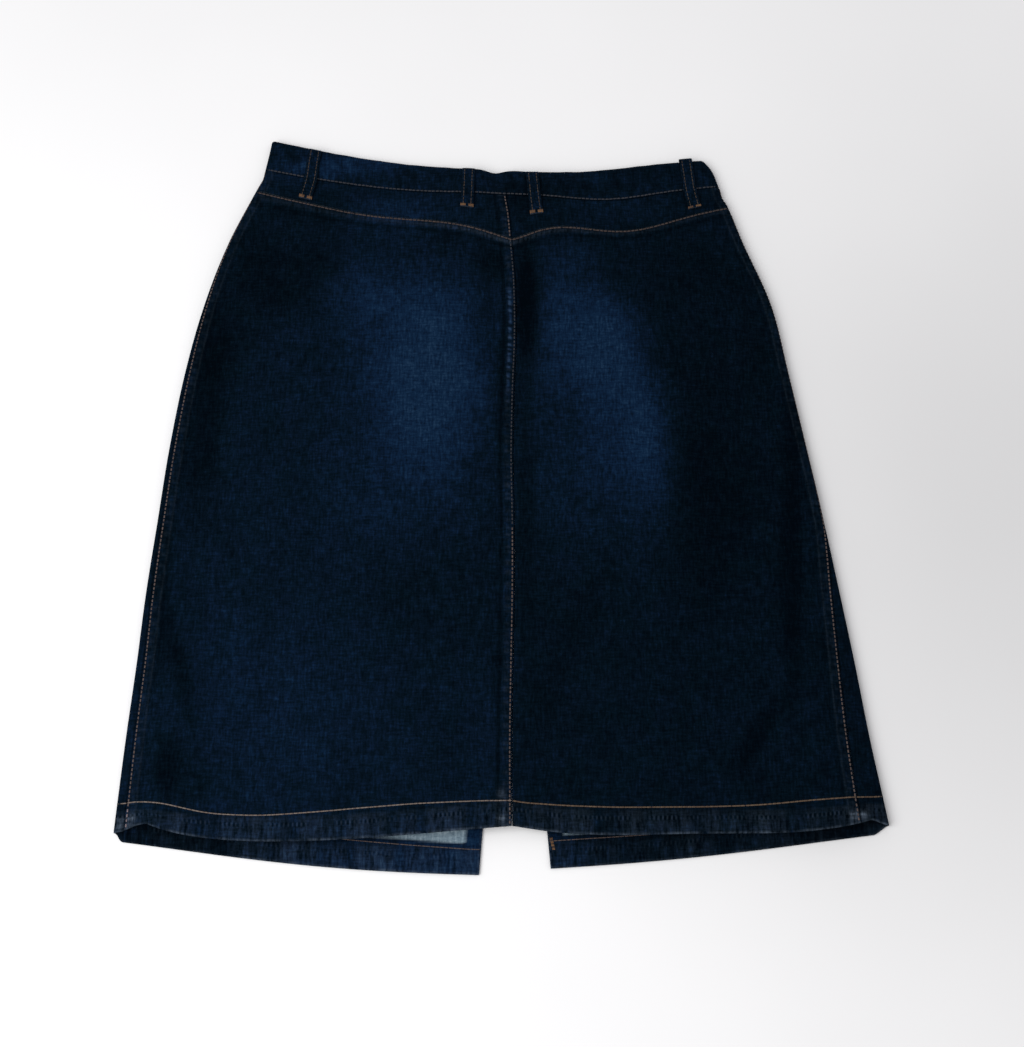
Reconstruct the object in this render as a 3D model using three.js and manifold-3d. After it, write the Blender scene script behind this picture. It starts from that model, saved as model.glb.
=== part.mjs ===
// A knee-length A-line denim skirt, laid flat on its front with its back upwards.
// X runs across the skirt, Y runs from the hem up to the waist, and Z is the height above the
// surface that it lies on. Every size is in millimetres.
//
// The skirt is one flattened tube. A "row" is a line across it, at a distance "down" the centre back
// from the waist's top edge. Each row has a left and a right side fold, which its back layer and
// its front layer share, so that pieces of cloth are stretches of rows between two seams.
import * as THREE from "three";
import { mergeVertices } from "three/addons/utils/BufferGeometryUtils.js";
import Module from "manifold-3d";

const wasm = await Module();
wasm.setup();

// Cloth
const CLOTH = 1.2; // one layer of denim
const BAND = 2.4; // the waistband is folded double
const BAND_PROUD = 0.5; // how far its outer face stands out from the yokes
const HEM_EXTRA = 1.1; // what the turned-up hem adds on the inside
const FACING_EXTRA = 0.9; // what the turned-in slit edge adds on the inside
const FELL_EXTRA = 0.8; // how far a felled seam stands proud
const FELL_WIDTH = 9; // how wide a felled seam is
const SEAM_GAP = 0.3; // between two pieces at a seam

// Lengths down the centre back, from the waist's top edge
const BAND_SEAM = 27;
const YOKE_SEAM = 73;
const HEM_EDGE = 605;
const HEM_DEPTH = 23;
const SLIT_TOP = 415;
const SLIT_GAP = 57; // how far the slit stands open at the hem
const SLIT_CURVE = 0.55; // under 1, so that the slit's edges bow outwards
const SLIT_LEFT_SHARE = 0.46; // the share of the gap that lies left of the centre front
const SLIT_FACING = 11;

// Places
const WAIST_Y = 343; // the waist's top edge at the centre back, before the part is centred
const CENTRE = { x: -8, y: 39.3 }; // the middle of the laid-out skirt
const FOLD_RADIUS = 3.5; // of the side folds, seen along the skirt
const SIDE_REACH = 70; // how far from a side fold the cloth rises to its middle height
const WAIST_DENT = { x: -16, width: 9, depth: 2.6, length: 14 }; // in the waist's top edge
const CORNER = { start: 12, fade: 50, from: 530 }; // where the hem's corners pull apart

// The tube's outline. frontDrop is how much lower a row lies at the centre front than at the back.
const OUTLINE_COLUMNS = ["down", "leftX", "leftY", "midX", "rightX", "rightY", "frontDrop"];
const OUTLINE_ROWS = [
  [0, -223, 376, -5, 177, 355, 20],
  [27, -227.5, 344, -5, 190, 326, 21],
  [50, -230, 334, -2, 193, 315, 21],
  [73, -237, 320, 0, 199, 305, 22],
  [112, -258, 268, 3, 210, 268, 23],
  [165, -276, 206, 4, 232, 206, 24],
  [225, -289, 139, 2, 244, 139, 26],
  [285, -298, 67, 1, 256, 67, 27],
  [345, -303, 2, 2, 265, 2, 29],
  [405, -308, -64, 2, 275, -64, 31],
  [465, -311, -126, 1, 285, -126, 33],
  [525, -315, -188, 0, 293, -188, 34],
  [580, -318, -244, 0, 300, -239, 35],
  [605, -319, -266, 0, 303, -260, 36],
];

// How each half of a row curves: a bow is one arch between the side and the centre, a wave is an
// S and a ripple has three arches. A corner is the pull of a hem's corner towards the waist.
const CURVE_COLUMNS = ["down", "bow", "wave", "ripple", "corner"];
const CURVES = {
  backLeft: [
    [0, -6, 0, 0, 0],
    [27, -5, 0, 0, 0],
    [73, -1.5, -5, 0, 0],
    [150, 0, 0, 0, 0],
    [450, -3, 0, 0, 0],
    [605, -8, 0, 0, 5],
  ],
  backRight: [
    [0, -4, 1.7, 0, 0],
    [27, -7, 0, 0, 0],
    [73, -2.1, -3.5, 3.6, 0],
    [150, 0, 0, 0, 0],
    [450, -2, 0, 0, 0],
    [605, -7, 0, 0, 3],
  ],
  frontLeft: [
    [0, -5, 0, 0, 0],
    [150, -3, 0, 0, 0],
    [450, -5, 0, 0, 0],
    [605, -8, 0, 0, -7],
  ],
  frontRight: [
    [0, -5, 0, 0, 0],
    [150, -3, 0, 0, 0],
    [450, -4.5, 0, 0, 0],
    [605, -6.5, 0, 0, -4],
  ],
};
const RIGHT_FRONT_RISE = 4.5; // how much higher the right front's hem lies than the left's

// Where the side seams lie on the back layer, as lengths of cloth in from the side folds.
const SEAM_COLUMNS = ["down", "leftIn", "rightIn"];
const SEAM_ROWS = [
  [0, 1, 0.5],
  [112, 2.5, 0.5],
  [225, 5.5, 0.5],
  [345, 6.5, 2],
  [405, 7.5, 9],
  [465, 8.5, 16],
  [525, 9.5, 21],
  [605, 11, 26],
];

// Heights of the back layer's outer face over the side folds and over the middle.
const LOFT_COLUMNS = ["down", "side", "middle"];
const LOFT_ROWS = [
  [0, 6.6, 6.2],
  [27, 7, 9],
  [73, 7.4, 10],
  [150, 7.8, 10],
  [300, 7.8, 10],
  [450, 7.8, 10.5],
  [560, 8.2, 11.5],
  [605, 8.4, 12.5],
];

// Soft ridges and, where rise is negative, troughs of the back layer, each along a line.
const CREASE_COLUMNS = ["x1", "y1", "x2", "y2", "width", "rise"];
const CREASES = [
  [-75, 200, -80, 90, 60, 3.5], // left seat
  [85, 200, 90, 80, 60, 3.5], // right seat
  [14, 266, 12, 110, 10, -2.6], // beside the centre seam, right
  [-16, 262, -12, 150, 9, -2.2], // beside the centre seam, left
  [-28, 311, 28, 311, 42, 4.5], // over the button and the waistband's lap
  [-16, 352, -14, 330, 9, -1.6], // dent in the waistband
  [-235, 190, -120, 60, 28, 2.2], // from the left hip
  [205, 180, 120, 40, 26, 2], // from the right hip
  [-20, 215, -95, 160, 12, 1.2], // drag line to the left
  [12, 120, 75, 40, 14, 1.2], // drag line to the right
  [200, 80, 160, -190, 30, -2.2], // hollow down the right side
  [-266, 60, -246, -120, 24, -1.6], // hollow down the left side
  [-286, -262, -280, -150, 24, 5], // lifted left corner of the hem
  [-215, -262, -205, -120, 38, -1.8], // hem, falling
  [-60, -262, -40, -60, 45, 2], // hem, rising
  [32, -262, 40, -150, 22, -2], // hem, falling beside the seam
  [110, -262, 105, -100, 45, 2], // hem, rising
  [262, -258, 245, -120, 30, 5], // lifted right corner of the hem
];

// Where the front layer is lifted off the surface by what it lies on.
const LIFT_COLUMNS = ["x", "y", "flat", "reach", "lift"];
const BUTTON = { x: -2, y: 311 };
const FRONT_LOOPS = [
  { name: "belt_loop_front_left", topX: -98, bottomX: -98, top: 1, bottom: 48 },
  { name: "belt_loop_front_right", topX: 92, bottomX: 92, top: 1, bottom: 48 },
];
const LOOP_LIFT = 2.3;
const BUTTON_LIFT = 3.3;
const LIFTS = [
  [BUTTON.x, BUTTON.y, 13, 34, BUTTON_LIFT],
  [-98, 308, 30, 32, LOOP_LIFT],
  [92, 306, 30, 32, LOOP_LIFT],
];

// The waistband laps over at the centre front: its outer end lies below its inner end.
const LAP_OUTER_X = -14;
const LAP_INNER_X = 22;
const LAP_RAMP = { from: -48, to: -19 };

// Belt loops on the back: top and bottom are how far down each begins and ends.
const LOOP_WIDTH = 12;
const LOOP_THICKNESS = 1.5;
const LOOP_CLEARANCE = 0.5;
const LOOP_STANDOFF = 0.9;
const BACK_LOOPS = [
  { name: "belt_loop_back_far_left", topX: -182, bottomX: -189, top: 1, bottom: 61 },
  { name: "belt_loop_back_left", topX: -41, bottomX: -41, top: 1.5, bottom: 47 },
  { name: "belt_loop_back_right", topX: 18.5, bottomX: 22.5, top: 1.5, bottom: 50 },
  { name: "belt_loop_back_far_right", topX: 160, bottomX: 167, top: -1.6, bottom: 59.5 },
];

// Waist button and zip
const CAP_RADIUS = 8.5;
const CAP_HEIGHT = 3;
const SHANK_RADIUS = 2.4;
const BUTTONHOLE = { length: 18, width: 5.6 };
const ZIP = { width: 24, thickness: 0.8, length: 150 };
const ZIP_CLEARANCE = 0.4; // from the cloth to the tape, and from the tape to the slider
const SLIDER = { down: 35, width: 8, length: 11, tabWidth: 5, tabLength: 18, thickness: 2.2 };

const COLOURS = { denim: 0x0b1a30, metal: 0x8a6a45, tape: 0x0a1222 };

const smooth = (t) => {
  const c = Math.min(1, Math.max(0, t));
  return c * c * (3 - 2 * c);
};
const mix = (a, b, t) => a + (b - a) * t;

// Smooth interpolation of every column of a table in its first column.
function reader(columns, rows) {
  return (down) => {
    const last = rows.length - 1;
    let i = rows.findIndex((row) => row[0] > down) - 1;
    if (i < 0) i = down < rows[0][0] ? 0 : last - 1;
    const [a, b] = [rows[i], rows[i + 1]];
    const [before, after] = [rows[Math.max(0, i - 1)], rows[Math.min(last, i + 2)]];
    const span = b[0] - a[0];
    const t = (down - a[0]) / span;
    const value = {};
    columns.forEach((name, k) => {
      const slopeA = ((b[k] - before[k]) / (b[0] - before[0])) * span;
      const slopeB = ((after[k] - a[k]) / (after[0] - a[0])) * span;
      const t2 = t * t;
      const t3 = t2 * t;
      value[name] =
        (2 * t3 - 3 * t2 + 1) * a[k] +
        (t3 - 2 * t2 + t) * slopeA +
        (3 * t2 - 2 * t3) * b[k] +
        (t3 - t2) * slopeB;
    });
    return value;
  };
}

const outlineAt = reader(OUTLINE_COLUMNS, OUTLINE_ROWS);
const curvesAt = Object.fromEntries(
  Object.entries(CURVES).map(([name, rows]) => [name, reader(CURVE_COLUMNS, rows)]),
);
const seamAt = reader(SEAM_COLUMNS, SEAM_ROWS);
const loftAt = reader(LOFT_COLUMNS, LOFT_ROWS);
const asRecords = (columns, rows) =>
  rows.map((row) => Object.fromEntries(columns.map((name, k) => [name, row[k]])));
const creases = asRecords(CREASE_COLUMNS, CREASES);
const lifts = asRecords(LIFT_COLUMNS, LIFTS);

// A row's side fold and centre, for one half of one layer. side is -1 for left, 1 for right.
function halfRow(down, side, layer) {
  const o = outlineAt(down);
  const left = side < 0;
  const rise = left ? 0 : RIGHT_FRONT_RISE * smooth((down - SLIT_TOP) / (HEM_EDGE - SLIT_TOP));
  return {
    x: left ? o.leftX : o.rightX,
    y: left ? o.leftY : o.rightY,
    midX: o.midX,
    midY: WAIST_Y - down - (layer === "back" ? 0 : o.frontDrop - rise),
  };
}

const reachAt = (down, side, layer) => {
  const h = halfRow(down, side, layer);
  return Math.abs(h.midX - h.x);
};

// The point of a row at plan distance "inward" from its side fold. Past the centre it runs on
// along the other half.
function planPoint(down, side, layer, inward) {
  const reach = reachAt(down, side, layer);
  if (inward > reach) {
    return planPoint(down, -side, layer, reachAt(down, -side, layer) + reach - inward);
  }
  const h = halfRow(down, side, layer);
  const curve = curvesAt[layer + (side < 0 ? "Left" : "Right")](down);
  const s = inward / reach;
  const x = mix(h.x, h.midX, s);
  let y = mix(h.y, h.midY, s);
  y += curve.bow * Math.sin(Math.PI * s);
  y += curve.wave * Math.sin(2 * Math.PI * s);
  y += curve.ripple * Math.sin(3 * Math.PI * s);
  y += curve.corner * cornerShare(down, inward);
  if (layer === "back") y -= dentDepth(down, x);
  return { x, y };
}

// How much of a hem corner's pull is felt at a point.
function cornerShare(down, inward) {
  const lengthwise = smooth((down - CORNER.from) / (HEM_EDGE - CORNER.from));
  const rise = smooth(inward / CORNER.start);
  return lengthwise * rise * Math.exp(-Math.max(0, inward - CORNER.start) / CORNER.fade);
}

function dentDepth(down, x) {
  const { width, depth, length } = WAIST_DENT;
  return depth * Math.exp(-(((x - WAIST_DENT.x) / width) ** 2) - (Math.max(0, down) / length) ** 2);
}

// What the creases add to the back layer's height.
function creaseHeight(x, y) {
  let height = 0;
  for (const c of creases) {
    const [dx, dy] = [c.x2 - c.x1, c.y2 - c.y1];
    const length = Math.hypot(dx, dy);
    const along = ((x - c.x1) * dx + (y - c.y1) * dy) / length;
    const across = Math.abs((x - c.x1) * dy - (y - c.y1) * dx) / length;
    const past = Math.max(0, -along, along - length);
    height += c.rise * Math.exp(-((across / c.width) ** 2) - (past / c.width) ** 2);
  }
  return height;
}

// The back layer's outer face, away from its side folds.
function backHeight(down, inward, x, y) {
  const loft = loftAt(down);
  const free = smooth((inward - FOLD_RADIUS) / SIDE_REACH);
  const middle = mix(loft.side, loft.middle, free);
  return middle + creaseHeight(x, y) * smooth((inward - FOLD_RADIUS) / 14);
}

// The front layer's outer face, which rests on the surface.
function frontHeight(x, y) {
  let height = 0;
  for (const l of lifts) {
    const far = Math.hypot(x - l.x, y - l.y);
    height = Math.max(height, l.lift * smooth(1 - (far - l.flat) / l.reach));
  }
  return height;
}

// A point of a layer, given the length of cloth from the side fold and the wall's thickness.
// proud lifts the outer face alone.
function layerPoint(down, side, layer, cloth, thickness, proud = 0) {
  const quarter = (FOLD_RADIUS * Math.PI) / 2;
  const back = layer === "back";
  const up = back ? 1 : -1;
  const middle = loftAt(down).side / 2;
  if (cloth < quarter) {
    const angle = Math.max(0, cloth) / FOLD_RADIUS;
    const edge = planPoint(down, side, layer, 0);
    const ring = (inset) => ({
      x: edge.x - side * (FOLD_RADIUS - (FOLD_RADIUS - inset) * Math.cos(angle)),
      y: planPoint(down, side, layer, FOLD_RADIUS * (1 - Math.cos(angle))).y,
      z: middle + up * (middle - inset) * Math.sin(angle),
    });
    return { outer: ring(-proud * Math.sin(angle)), inner: ring(thickness) };
  }
  const inward = FOLD_RADIUS + cloth - quarter;
  const p = planPoint(down, side, layer, inward);
  const z = back ? backHeight(down, inward, p.x, p.y) : frontHeight(p.x, p.y);
  return {
    outer: { ...p, z: z + up * proud },
    inner: { ...p, z: z - up * thickness },
  };
}

const clothAt = (inward) => inward - FOLD_RADIUS + (FOLD_RADIUS * Math.PI) / 2;

// A row shifted by a few tenths of a millimetre, for the gap at a seam.
function rowBeside(down, shift, side, layer) {
  const a = planPoint(down - 0.5, side, layer, 0);
  const b = planPoint(down + 0.5, side, layer, 0);
  return down + shift / Math.hypot(b.x - a.x, b.y - a.y);
}

// A closed wall from a grid of outer and inner points: at(i, j) gives the pair.
function wall(rows, columns, at) {
  const points = [];
  const faces = [];
  for (let i = 0; i < rows; i++) {
    for (let j = 0; j < columns; j++) {
      const { outer, inner } = at(i, j);
      points.push(outer.x, outer.y, outer.z, inner.x, inner.y, inner.z);
    }
  }
  const index = (i, j, face) => 2 * (i * columns + j) + face;
  const quad = (a, b, c, d) => faces.push(a, b, c, a, c, d);
  for (let i = 0; i + 1 < rows; i++) {
    for (let j = 0; j + 1 < columns; j++) {
      quad(index(i, j, 0), index(i + 1, j, 0), index(i + 1, j + 1, 0), index(i, j + 1, 0));
      quad(index(i, j, 1), index(i, j + 1, 1), index(i + 1, j + 1, 1), index(i + 1, j, 1));
    }
    const last = columns - 1;
    quad(index(i, 0, 0), index(i, 0, 1), index(i + 1, 0, 1), index(i + 1, 0, 0));
    quad(index(i, last, 0), index(i + 1, last, 0), index(i + 1, last, 1), index(i, last, 1));
  }
  for (let j = 0; j + 1 < columns; j++) {
    const last = rows - 1;
    quad(index(0, j, 0), index(0, j + 1, 0), index(0, j + 1, 1), index(0, j, 1));
    quad(index(last, j, 0), index(last, j, 1), index(last, j + 1, 1), index(last, j + 1, 0));
  }
  const geometry = new THREE.BufferGeometry();
  geometry.setAttribute("position", new THREE.Float32BufferAttribute(points, 3));
  geometry.setIndex(faces);
  return facingOut(geometry);
}

// Turns every face round if the closed surface points inwards.
function facingOut(geometry) {
  const position = geometry.getAttribute("position");
  const index = geometry.getIndex().array;
  const [a, b, c] = [new THREE.Vector3(), new THREE.Vector3(), new THREE.Vector3()];
  let volume = 0;
  for (let i = 0; i < index.length; i += 3) {
    a.fromBufferAttribute(position, index[i]);
    b.fromBufferAttribute(position, index[i + 1]);
    c.fromBufferAttribute(position, index[i + 2]);
    volume += a.dot(b.cross(c));
  }
  if (volume < 0) {
    for (let i = 0; i < index.length; i += 3) {
      [index[i + 1], index[i + 2]] = [index[i + 2], index[i + 1]];
    }
  }
  geometry.computeVertexNormals();
  return geometry;
}

const steps = (from, to, count) =>
  Array.from({ length: count + 1 }, (_, k) => mix(from, to, k / count));

// Rows of the body, shared by the back and front panels so that their seams match.
const BODY_ROWS = [
  ...steps(100, 280, 6),
  ...steps(315, 385, 4),
  ...steps(420, 525, 3),
  552,
  HEM_EDGE - HEM_DEPTH - 1.5,
  HEM_EDGE - HEM_DEPTH,
  HEM_EDGE,
];
const YOKE_ROWS = [36, 54];
const FELL_ROWS = [YOKE_SEAM + 1.2, YOKE_SEAM + FELL_WIDTH - 1, YOKE_SEAM + FELL_WIDTH + 0.5];

const hemExtra = (down) => (down > HEM_EDGE - HEM_DEPTH - 0.5 ? HEM_EXTRA : 0);
const isFell = (distance) => distance < FELL_WIDTH;

// A panel of the back, from its side seam to the centre seam.
function backPiece(side, from, to, inside, fellAtTop) {
  const half = SEAM_GAP / 2;
  const rows = [from, ...inside, to];
  const besideSeam = [0, 1.5, 3.5, 6, FELL_WIDTH - 0.5, FELL_WIDTH + 1];
  const besideCentre = side < 0 ? [FELL_WIDTH + 1, FELL_WIDTH - 0.5, 0] : [8, 0];
  const acrossCount = side < 0 ? 13 : 11;
  const sideColumns = besideSeam.length;
  const columns = sideColumns + acrossCount + besideCentre.length - 1;
  return wall(rows.length, columns, (i, j) => {
    const seam = side < 0 ? seamAt(rows[i]).leftIn : seamAt(rows[i]).rightIn;
    const end = clothAt(reachAt(rows[i], side, "back") - half);
    const start = Math.max(0, seam) + half;
    const inner = start + besideSeam[sideColumns - 1];
    const outer = end - besideCentre[0];
    let cloth;
    if (j < sideColumns) cloth = start + besideSeam[j];
    else if (j < sideColumns + acrossCount - 1)
      cloth = mix(inner, outer, (j - sideColumns + 1) / acrossCount);
    else cloth = end - besideCentre[j - sideColumns - acrossCount + 1];
    const first = i === 0;
    const shift = first ? half : rows[i] === HEM_EDGE ? 0 : i === rows.length - 1 ? -half : 0;
    const down = shift ? rowBeside(rows[i], shift, side, "back") : rows[i];
    const sideFell = isFell(cloth - start);
    const centreFell = side < 0 && isFell(end - cloth);
    const topFell = fellAtTop && rows[i] < YOKE_SEAM + FELL_WIDTH;
    const proud = sideFell || centreFell || topFell ? FELL_EXTRA : 0;
    return layerPoint(down, side, "back", cloth, CLOTH + hemExtra(rows[i]), proud);
  });
}

// How far the slit's edge stands from the centre front.
function slitHalf(down, side) {
  const open = SLIT_GAP * Math.max(0, (down - SLIT_TOP) / (HEM_EDGE - SLIT_TOP)) ** SLIT_CURVE;
  return open * (side < 0 ? SLIT_LEFT_SHARE : 1 - SLIT_LEFT_SHARE);
}

// A front panel, from the centre front, under the side fold and up to the side seam.
function frontPanel(side) {
  const half = SEAM_GAP / 2;
  const rows = [BAND_SEAM, ...YOKE_ROWS, YOKE_SEAM, ...BODY_ROWS, SLIT_TOP].sort((a, b) => a - b);
  const besideCentre = [0, SLIT_FACING - 0.5, SLIT_FACING + 1];
  const underCount = 8;
  const foldCount = 4;
  const overCount = 5;
  const firstCount = besideCentre.length;
  const columns = firstCount + underCount + foldCount + overCount;
  return wall(rows.length, columns, (i, j) => {
    const down = i === 0 ? rowBeside(rows[0], half, side, "front") : rows[i];
    const reach = reachAt(rows[i], side, "front");
    const start = clothAt(reach - half - slitHalf(rows[i], side));
    const quarter = clothAt(FOLD_RADIUS);
    const faced = rows[i] > SLIT_TOP - 1 && j < 2 ? FACING_EXTRA : 0;
    const thickness = CLOTH + Math.max(hemExtra(rows[i]), faced);
    if (j < firstCount) {
      return layerPoint(down, side, "front", start - besideCentre[j], thickness);
    }
    if (j < firstCount + underCount) {
      const share = (j - firstCount + 1) / underCount;
      const cloth = mix(start - besideCentre[firstCount - 1], quarter, share);
      return layerPoint(down, side, "front", cloth, thickness);
    }
    if (j < firstCount + underCount + foldCount) {
      const share = (j - firstCount - underCount + 1) / foldCount;
      return layerPoint(down, side, "front", quarter * (1 - share), thickness);
    }
    const seam = side < 0 ? seamAt(rows[i]).leftIn : seamAt(rows[i]).rightIn;
    const share = (j - firstCount - underCount - foldCount + 1) / overCount;
    const cloth = (Math.max(0, seam) - half) * share ** 1.8;
    return layerPoint(down, side, "back", cloth, thickness);
  });
}

// The waistband, one strip from its outer lap, round both side folds, to its inner lap.
function waistbandWall() {
  const half = SEAM_GAP / 2;
  const rows = [0, 2, 8, 16, BAND_SEAM];
  const rim = [0.45, 0.85, 1, 1, 1]; // the top edge is rounded
  const stations = [];
  for (const share of steps(0, 1, 9)) stations.push({ kind: "under", side: 1, share });
  for (const share of steps(0.25, 1, 3)) stations.push({ kind: "underFold", side: 1, share });
  for (const share of steps(0.25, 1, 3)) stations.push({ kind: "overFold", side: 1, share });
  for (const share of steps(1 / 13, 1, 12)) stations.push({ kind: "over", side: 1, share });
  for (const share of [0.02, 0.045, 0.07, 0.1, ...steps(0.16, 1, 11)]) {
    stations.push({ kind: "overBack", side: -1, share });
  }
  for (const share of steps(0.25, 1, 3)) stations.push({ kind: "overFoldBack", side: -1, share });
  for (const share of steps(0.25, 1, 3)) stations.push({ kind: "underFoldBack", side: -1, share });
  for (const share of [0.16, 0.32, 0.48, 0.64, 0.76, 0.82, 0.88, 0.94, 1]) {
    stations.push({ kind: "underBack", side: -1, share });
  }
  const quarter = clothAt(FOLD_RADIUS);
  return wall(rows.length, stations.length, (i, j) => {
    const { kind, side, share } = stations[j];
    const layer = kind.startsWith("under") ? "front" : "back";
    const down = i === rows.length - 1 ? rowBeside(rows[i], -half, side, layer) : rows[i];
    const full = clothAt(reachAt(rows[i], side, layer));
    const h = halfRow(rows[i], side, layer);
    const lapEnd = (x) => clothAt(Math.abs(x - h.x));
    const cloth = {
      under: () => mix(lapEnd(LAP_OUTER_X), quarter, share),
      underFold: () => quarter * (1 - share),
      overFold: () => quarter * share,
      over: () => mix(quarter, full, share),
      overBack: () => mix(full, quarter, share),
      overFoldBack: () => quarter * (1 - share),
      underFoldBack: () => quarter * share,
      underBack: () => mix(quarter, lapEnd(LAP_INNER_X), share),
    }[kind]();
    const pair = layerPoint(down, side, layer, cloth, BAND, layer === "back" ? BAND_PROUD : 0);
    if (kind === "underBack") {
      const ramp = smooth((pair.outer.x - LAP_RAMP.from) / (LAP_RAMP.to - LAP_RAMP.from));
      pair.outer.z += ramp * (BAND + SEAM_GAP);
      pair.inner.z += ramp * (BAND + SEAM_GAP);
    }
    // Draws both faces towards the middle of the wall, which rounds the top edge.
    const centre = ["x", "y", "z"].map((k) => (pair.outer[k] + pair.inner[k]) / 2);
    for (const face of [pair.outer, pair.inner]) {
      ["x", "y", "z"].forEach((k, n) => (face[k] = mix(centre[n], face[k], rim[i])));
    }
    return pair;
  });
}

// A closed three.js geometry as a manifold-3d solid, and back.
function toSolid(geometry) {
  const bare = geometry.clone();
  bare.deleteAttribute("normal");
  bare.deleteAttribute("uv");
  const merged = mergeVertices(bare, 1e-4);
  return new wasm.Manifold(
    new wasm.Mesh({
      numProp: 3,
      vertProperties: merged.getAttribute("position").array,
      triVerts: new Uint32Array(merged.getIndex().array),
    }),
  );
}

function toGeometry(solid) {
  const mesh = solid.getMesh();
  const geometry = new THREE.BufferGeometry();
  geometry.setAttribute("position", new THREE.Float32BufferAttribute(mesh.vertProperties, 3));
  geometry.setIndex([...mesh.triVerts]);
  geometry.computeVertexNormals();
  return geometry;
}

// The waistband with the buttonhole cut through its outer lap.
function waistband() {
  const { length, width } = BUTTONHOLE;
  const slot = new THREE.Shape();
  slot.absellipse(0, 0, length / 2, width / 2, 0, 2 * Math.PI);
  const cutBottom = BUTTON_LIFT - 1;
  const cutTop = BUTTON_LIFT + BAND + SEAM_GAP / 2;
  const cutter = new THREE.ExtrudeGeometry(slot, {
    depth: cutTop - cutBottom,
    bevelEnabled: false,
    curveSegments: 10,
  });
  cutter.translate(BUTTON.x, BUTTON.y, cutBottom);
  return toGeometry(toSolid(waistbandWall()).subtract(toSolid(cutter)));
}

// A belt loop on the back or the front of the waistband, flat on it, sewn at its two ends.
function beltLoop(layer, { topX, bottomX, top, bottom }) {
  const stations = [0, 0.07, 0.2, 0.4, 0.6, 0.8, 0.93, 1];
  const across = [-1, -0.5, 0.5, 1];
  const crown = [0.35, 0, 0, 0.35]; // the long edges are turned under, so they are rounded
  const up = layer === "back" ? 1 : -1;
  return wall(stations.length, across.length, (i, j) => {
    const down = mix(top, bottom, stations[i]);
    const x = mix(topX, bottomX, stations[i]) + (across[j] * LOOP_WIDTH) / 2;
    const h = halfRow(down, Math.sign(x) || 1, layer);
    const side = x < h.midX ? -1 : 1;
    const edge = halfRow(down, side, layer).x;
    const inward = Math.abs(x - edge);
    const p = planPoint(down, side, layer, inward);
    const face = layer === "back" ? backHeight(down, inward, p.x, p.y) : frontHeight(p.x, p.y);
    const stand = LOOP_STANDOFF * Math.sin(Math.PI * stations[i]) ** 0.6;
    const overBand = BAND_PROUD * smooth((BAND_SEAM + LOOP_WIDTH - down) / LOOP_WIDTH);
    const away = LOOP_CLEARANCE + (layer === "back" ? overBand + stand : 0);
    const end = i === 0 || i === stations.length - 1 ? 0.3 : 0;
    const inner = face + up * (away + end * 0.5);
    const outer = face + up * (away + LOOP_THICKNESS - crown[j] - end);
    return { outer: { ...p, z: outer }, inner: { ...p, z: inner } };
  });
}

// A round shank button: a cap with a dished face below, and the shank that goes up through the hole.
function button() {
  const top = BUTTON_LIFT + BAND;
  const profile = [
    [0, 0.5],
    [CAP_RADIUS * 0.45, 0.45],
    [CAP_RADIUS * 0.6, 0],
    [CAP_RADIUS * 0.86, 0],
    [CAP_RADIUS, 0.9],
    [CAP_RADIUS, 1.9],
    [CAP_RADIUS * 0.86, CAP_HEIGHT - 0.2],
    [SHANK_RADIUS, CAP_HEIGHT],
    [SHANK_RADIUS, top - 0.4],
    [SHANK_RADIUS - 0.4, top],
    [0, top],
  ].map(([x, y]) => new THREE.Vector2(x, y));
  const geometry = new THREE.LatheGeometry(profile, 20);
  geometry.rotateX(Math.PI / 2);
  geometry.translate(BUTTON.x, BUTTON.y, 0);
  return geometry;
}

// The zip's tape behind the centre front seam, and its slider with the tab lying down on the tape.
function zipPoint(down, x, away) {
  const side = x < halfRow(down, 1, "front").midX ? -1 : 1;
  const inward = Math.abs(x - halfRow(down, side, "front").x);
  const p = planPoint(down, side, "front", inward);
  return { ...p, z: frontHeight(p.x, p.y) + CLOTH + away };
}

function zipTape() {
  const rows = steps(BAND_SEAM + 3, BAND_SEAM + 3 + ZIP.length, 9);
  const across = [-1, 0, 1];
  return wall(rows.length, across.length, (i, j) => {
    const x = outlineAt(rows[i]).midX + (across[j] * ZIP.width) / 2;
    return {
      outer: zipPoint(rows[i], x, ZIP_CLEARANCE + ZIP.thickness),
      inner: zipPoint(rows[i], x, ZIP_CLEARANCE),
    };
  });
}

function zipSlider() {
  const { width, length, tabWidth, tabLength, thickness } = SLIDER;
  const outline = new THREE.Shape();
  outline.moveTo(-width / 2, 0);
  outline.lineTo(-width * 0.35, -length);
  outline.lineTo(-tabWidth / 2, -length);
  outline.lineTo(-tabWidth / 2, -length - tabLength);
  outline.lineTo(tabWidth / 2, -length - tabLength);
  outline.lineTo(tabWidth / 2, -length);
  outline.lineTo(width * 0.35, -length);
  outline.lineTo(width / 2, 0);
  outline.closePath();
  const geometry = new THREE.ExtrudeGeometry(outline, { depth: thickness, bevelEnabled: false });
  const { midX } = outlineAt(BAND_SEAM);
  const away = 2 * ZIP_CLEARANCE + ZIP.thickness;
  const top = zipPoint(SLIDER.down, midX, away);
  const low = zipPoint(SLIDER.down + length + tabLength, midX, away);
  geometry.rotateX(Math.atan2(top.z - low.z, length + tabLength));
  geometry.translate(top.x, top.y, top.z);
  return geometry;
}

const material = (color, roughness, metalness = 0) =>
  new THREE.MeshStandardMaterial({ color, roughness, metalness });

function named(name, geometry, look) {
  const mesh = new THREE.Mesh(geometry, look);
  mesh.name = name;
  return mesh;
}

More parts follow.
